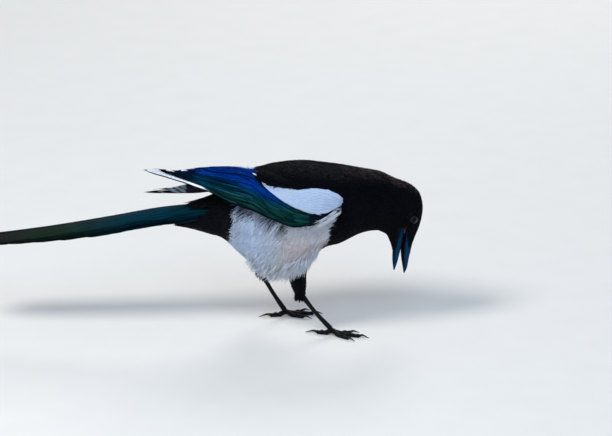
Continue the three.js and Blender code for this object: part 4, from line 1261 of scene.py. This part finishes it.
feathers = []
for k, short in enumerate(TAIL_STEPS):
    for side in (1, -1):
        def tail_sheet(along, across, out=0.0, side=side):
            across = side * np.asarray(across, float)
            along, across, out = np.broadcast_arrays(np.asarray(along, float), across, out)
            z, rounding = np.moveaxis(tail_line(along), -1, 0)
            turn = across / rounding
            y, arch = (rounding + out) * np.sin(turn), (rounding + out) * np.cos(turn)
            return np.stack([TAIL_ROOT_X - along, y, z + arch - rounding], -1)

        root = (8, -18.5 - 0.6 * k)
        tip = (TAIL_LENGTH - short, -(15.5 + 1.1 * k) - (k > 0))
        out = -0.8 * k - (0 if side == 1 else 0.3)
        made = vane(tail_sheet, root, tip, 31 if k == 0 else 22, out, dip=0.02, thick=0.4, point=0.14,
                    bow=0.3, rows=44, columns=13, shaft=0.0 if k == 0 else -0.35, notch=0.006,
                    seed=200 + k * 2 + side)
        feathers.append((made, tail_colour))
feather_piece("tail_feathers", feathers, tail_finish, "tail_green", "tail")

# Tail coverts: long soft black feathers above and below that cover the roots of the tail in a point.
draw = np.random.default_rng(55)
p, q = even_roots(on_body, -34, 12, lambda at: 3.2, 57)
hind_edge = [-28, -24, -16, -5, 5, 2, -14, -18]
keep = p > np.interp(np.cos(q), [-1, -0.5, -0.2, 0.1, 0.45, 0.8, 0.95, 1], hind_edge)
p, q = p[keep], q[keep]
tufts("tail_coverts_long", on_body, p, q, black_plumage, "plumage_black", BLACK, strands=3, splay=0.07,
      thick=0.25, length=16 + 6 * draw.uniform(0, 1, len(p)), width=2.6, low=-1.2, high=0.6, seed=58)

# Legs: a feathered shank, a bare tarsus with a row of broad black scutes in front, and four padded toes.
# Skin and scales are black and slightly glossy; claws are separate horn.
LEGS = {
    "right": {
        "knee": (2, -20, 80), "shin": (-2, -20.5, 58), "ankle": (0, -20, 39), "foot": (29, -25, 5),
        "turn": -14, "side": -1,
    },
    "left": {
        "knee": (-19, 20, 78), "shin": (-30, 20, 58), "ankle": (-36, 20, 45), "foot": (-13, 22.5, 5),
        "turn": 8, "side": 1,
    },
}
# For each toe: its bearing from the middle toe, its reach, the length of its nail, and how stout it is
TOES = {
    "hind": (180, 14.5, 11, 1.08), "inner": (-26, 17.5, 8, 0.95),
    "middle": (0, 26, 8.5, 1), "outer": (25, 19, 7.5, 0.92),
}
TARSUS_RADIUS = 1.9
TARSUS_SCUTES = 15
TOE_RADIUS = 2.1
TOE_ROOT, TOE_END = 1.1, 0.82
TOE_SCUTE = 2.1
NAIL_ROOT, NAIL_TIP = 1.35, 0.22

scale_finish, where, sockets = new_finish("leg_scales", Roughness=0.45, Specular_IOR_Level=0.12)
cells = where.made("ShaderNodeTexVoronoi", {"feature": "DISTANCE_TO_EDGE"}, {"Vector": where, "Scale": 900.0})
grime = where.noise(300, 4)
edges = (cells * 9).kept()
scales = grime.between((0.002, 0.002, 0.003), (0.008, 0.008, 0.012))
joined(edges.between((0.001, 0.001, 0.002), scales), sockets["Base Color"])
joined(0.3 + grime * 0.3, sockets["Roughness"])
joined((edges + grime * 0.4).bumped(0.6, 0.0003), sockets["Normal"])
claw_finish, where, sockets = new_finish("claw_horn", Roughness=0.25, Specular_IOR_Level=0.3)
wear = where.noise(500, 4)
joined(wear.between((0.003, 0.003, 0.004), (0.014, 0.014, 0.018)), sockets["Base Color"])
joined(0.2 + wear * 0.3, sockets["Roughness"])


def leg_frame(line, t):
    """Places along a line, and there the forward and sideways directions square to it."""
    way = unit(line(np.asarray(t) + 0.01) - line(np.asarray(t) - 0.01))
    front = unit(np.cross(way, (0, -1.0, 0)))
    front = np.where((front[..., :1] < 0), -front, front)
    return line(t), front, np.cross(front, way)


def scutes(place, high, wide):
    """The broad scales in front of a toe or tarsus: each stands out at one edge and sinks to the other."""
    return high * (1 - place % 1.0) ** 0.7 * np.clip(np.cos(turn) * wide, 0, 1)


def toe_ring(spot, tall, wide, across, floor_height):
    """A ring round a toe or nail, flat where it would go below the floor."""
    ring = spot + np.outer(tall * np.cos(turn), (0, 0, 1)) + np.outer(wide * np.sin(turn), across)
    ring[:, 2] = np.maximum(ring[:, 2], floor_height)
    return ring


turn = circle(24)


for name, leg in LEGS.items():
    knee, shin, ankle, foot = [np.array(leg[key], float) for key in ("knee", "shin", "ankle", "foot")]
    first = float(np.linalg.norm(shin - knee))
    total = first + float(np.linalg.norm(ankle - shin))
    shank_line = curve_through([(0, *knee), (first / total, *shin), (1, *ankle)])
    shank_size = curve_through([
        (0, 9.5, 8), (0.2, 9, 7.6), (0.4, 8.2, 6.8), (0.6, 7.4, 5.9), (0.8, 6, 4.7), (1, 3.2, 2.9),
    ])

    def on_shank(at, turn, out=0.0):
        at, turn, out = np.broadcast_arrays(np.asarray(at, float), turn, out)
        spot, front, side = leg_frame(shank_line, np.clip(at, 0.02, 1))
        deep, half = np.moveaxis(shank_size(at), -1, 0)
        drop = np.maximum(at - 1, 0)[..., None] * total * np.array([0, 0, -1.0])
        ahead, aside = (deep + out) * np.cos(turn), (half + out) * np.sin(turn)
        return spot + drop + front * ahead[..., None] + side * aside[..., None]

    rings = [on_shank(np.full(24, at), turn, -1.6) for at in np.linspace(0.02, 1, 16)]
    shank = piece(f"skin_shank_{name}", drawn_through(rings), skin_finish, "plumage_black", f"shank_{name}")
    coloured_and_shaded(shank.data, np.tile(BLACK, (len(shank.data.vertices), 1)))
    draw = np.random.default_rng(62)
    count = 1400
    p = draw.uniform(0.03, 1.0, count)
    q = draw.uniform(0, 2 * np.pi, count)
    tufts(f"coat_shank_{name}", on_shank, p, q, black_plumage, "plumage_black", BLACK, way=1,
          length=draw.uniform(4.5, 8.5, count), width=1.35, low=-1.5,
          high=0.1 + 2.6 * ramp(p, 0.35, 0.6) * draw.uniform(0.4, 1, count), splay=0.14, thick=0.16, seed=63,
          span=((0, 1), (0, 2 * np.pi)))

    # Tarsus: scutes step down the front, one about every three millimetres
    start = ankle + (foot - ankle) * -0.06
    middle = (ankle + foot) / 2 + [-0.8, 0, -0.8]
    end = foot + [-1.4, 0, 1.4]
    tarsus_line = curve_through([(0, *start), (0.5, *middle), (1, *end)])
    tarsus_size = curve_through([
        (0, 1.45, 1.2), (0.17, 1.25, 1.05), (0.33, 1, 0.86), (0.5, 0.95, 0.84), (0.67, 1, 0.86),
        (0.83, 1.15, 1.1), (1, 1.2, 1.25),
    ])
    rings = []
    for t in np.linspace(0, 1, 91):
        _, front, side = leg_frame(tarsus_line, np.clip(t, 0.02, 0.98))
        deep, half = tarsus_size(t) * TARSUS_RADIUS
        scute = scutes(t * TARSUS_SCUTES, 0.16, 1.6)
        ahead, aside = (deep + scute) * np.cos(turn), (half + scute) * np.sin(turn)
        rings.append(tarsus_line(t) + front * ahead[:, None] + side * aside[:, None])
    piece(f"scaled_tarsus_{name}", drawn_through(rings), scale_finish, "leg_skin", f"tarsus_{name}")

    feet = bmesh.new()
    for toe, (angle, reach, nail, stout) in TOES.items():
        bearing = math.radians(leg["turn"]) + leg["side"] * math.radians(angle)
        way = np.array([math.cos(bearing), math.sin(bearing), 0])
        across = np.array([-way[1], way[0], 0])
        rings = []
        for t in np.linspace(0, 1, 46):
            pad = 1 + 0.1 * math.cos(t * math.pi * 6)
            radius = TOE_RADIUS * stout * (TOE_ROOT + (TOE_END - TOE_ROOT) * t) * pad
            high = foot[2] - 0.6 + (radius * 0.86 - foot[2] + 0.6) * min(1, t * 2.6)
            closing = math.sqrt(max(0.05, 1 - max(0, (t - 0.93) / 0.07) ** 2))
            size = radius * closing + scutes(t * reach / TOE_SCUTE, 0.13, 1.5)
            spot = np.array([foot[0], foot[1], high]) + way * t * reach
            rings.append(toe_ring(spot, size, size, across, 0))
        toe_mesh = mesh_of("toe", drawn_through(rings))
        feet.from_mesh(toe_mesh)
        bpy.data.meshes.remove(toe_mesh)
        rings = []
        for t in np.linspace(0, 1, 16):
            radius = (NAIL_ROOT + (NAIL_TIP - NAIL_ROOT) * t) * stout
            high = 1.75 * stout + 1.5 * math.sin(math.pi * min(1, t * 1.1)) * (1 - t) - 1.1 * t * t
            spot = np.array([foot[0], foot[1], max(high, radius + 0.12)])
            spot = spot + way * (reach - 0.6 + t * (nail * 0.93 + 0.9))
            rings.append(toe_ring(spot, radius, radius * 0.72, across, 0.02))
        piece(f"nail_{name}_{toe}", drawn_through(rings), claw_finish, "horn", f"claw_{name}_{toe}")
    piece(f"toes_{name}", feet, scale_finish, "leg_skin", f"foot_{name}")

# Where the bird is looked at: a plain pale floor, soft studio light from above and from the camera's left,
# and a long lens far back at the height that the photo was taken from.
floor_finish, where, sockets = new_finish("floor", Roughness=0.85)
joined(where.noise(30, 4).between((0.78, 0.775, 0.76), (0.82, 0.815, 0.8)), sockets["Base Color"])
floor_form = bmesh.new()
bmesh.ops.create_grid(floor_form, x_segments=4, y_segments=4, size=4)
floor_mesh = mesh_of("floor", floor_form)
floor_mesh.materials.append(floor_finish)
floor = linked("floor", floor_mesh)

world = bpy.data.worlds.new("studio")
world.use_nodes = True
world.node_tree.nodes["Background"].inputs[0].default_value = (0.78, 0.87, 1.0, 1)
world.node_tree.nodes["Background"].inputs[1].default_value = 0.35
bpy.context.scene.world = world
bpy.context.scene.view_settings.view_transform = "Standard"


def lamp(name, place, aim, size, power, colour):
    data = bpy.data.lights.new(name, "AREA")
    data.shape, data.size, data.energy, data.color = "DISK", size, power, colour
    made = linked(name, data)
    made.location = place
    made.rotation_euler = (Vector(place) - Vector(aim)).to_track_quat("Z", "Y").to_euler()


MIDDLE = placed((5.4, 0, 103.4))
lamp("key", (-1.1, -0.9, 1.9), MIDDLE, 0.8, 34, (1.0, 0.97, 0.92))
lamp("sky", (0.4, -1.3, 1.5), MIDDLE, 1.2, 11, (0.62, 0.8, 1.0))
lamp("back", (0.5, 1.6, 1.3), MIDDLE, 0.9, 14, (1.0, 0.98, 0.95))

# Metres from the camera to the bird, and metres across the photo there
CAMERA_AWAY = 4
PHOTO_WIDTH = 0.5508
SENSOR_WIDTH = 36
camera_data = bpy.data.cameras.new("camera")
camera_data.sensor_width = SENSOR_WIDTH
camera_data.lens = SENSOR_WIDTH * CAMERA_AWAY / PHOTO_WIDTH
camera_data.clip_end = 30
camera = linked("camera", camera_data)
lift = math.radians(20)
camera.location = MIDDLE + CAMERA_AWAY * np.array([0, -math.cos(lift), math.sin(lift)])
camera.rotation_euler = (math.pi / 2 - lift, 0, 0)
bpy.context.scene.camera = camera
bpy.context.view_layer.update()
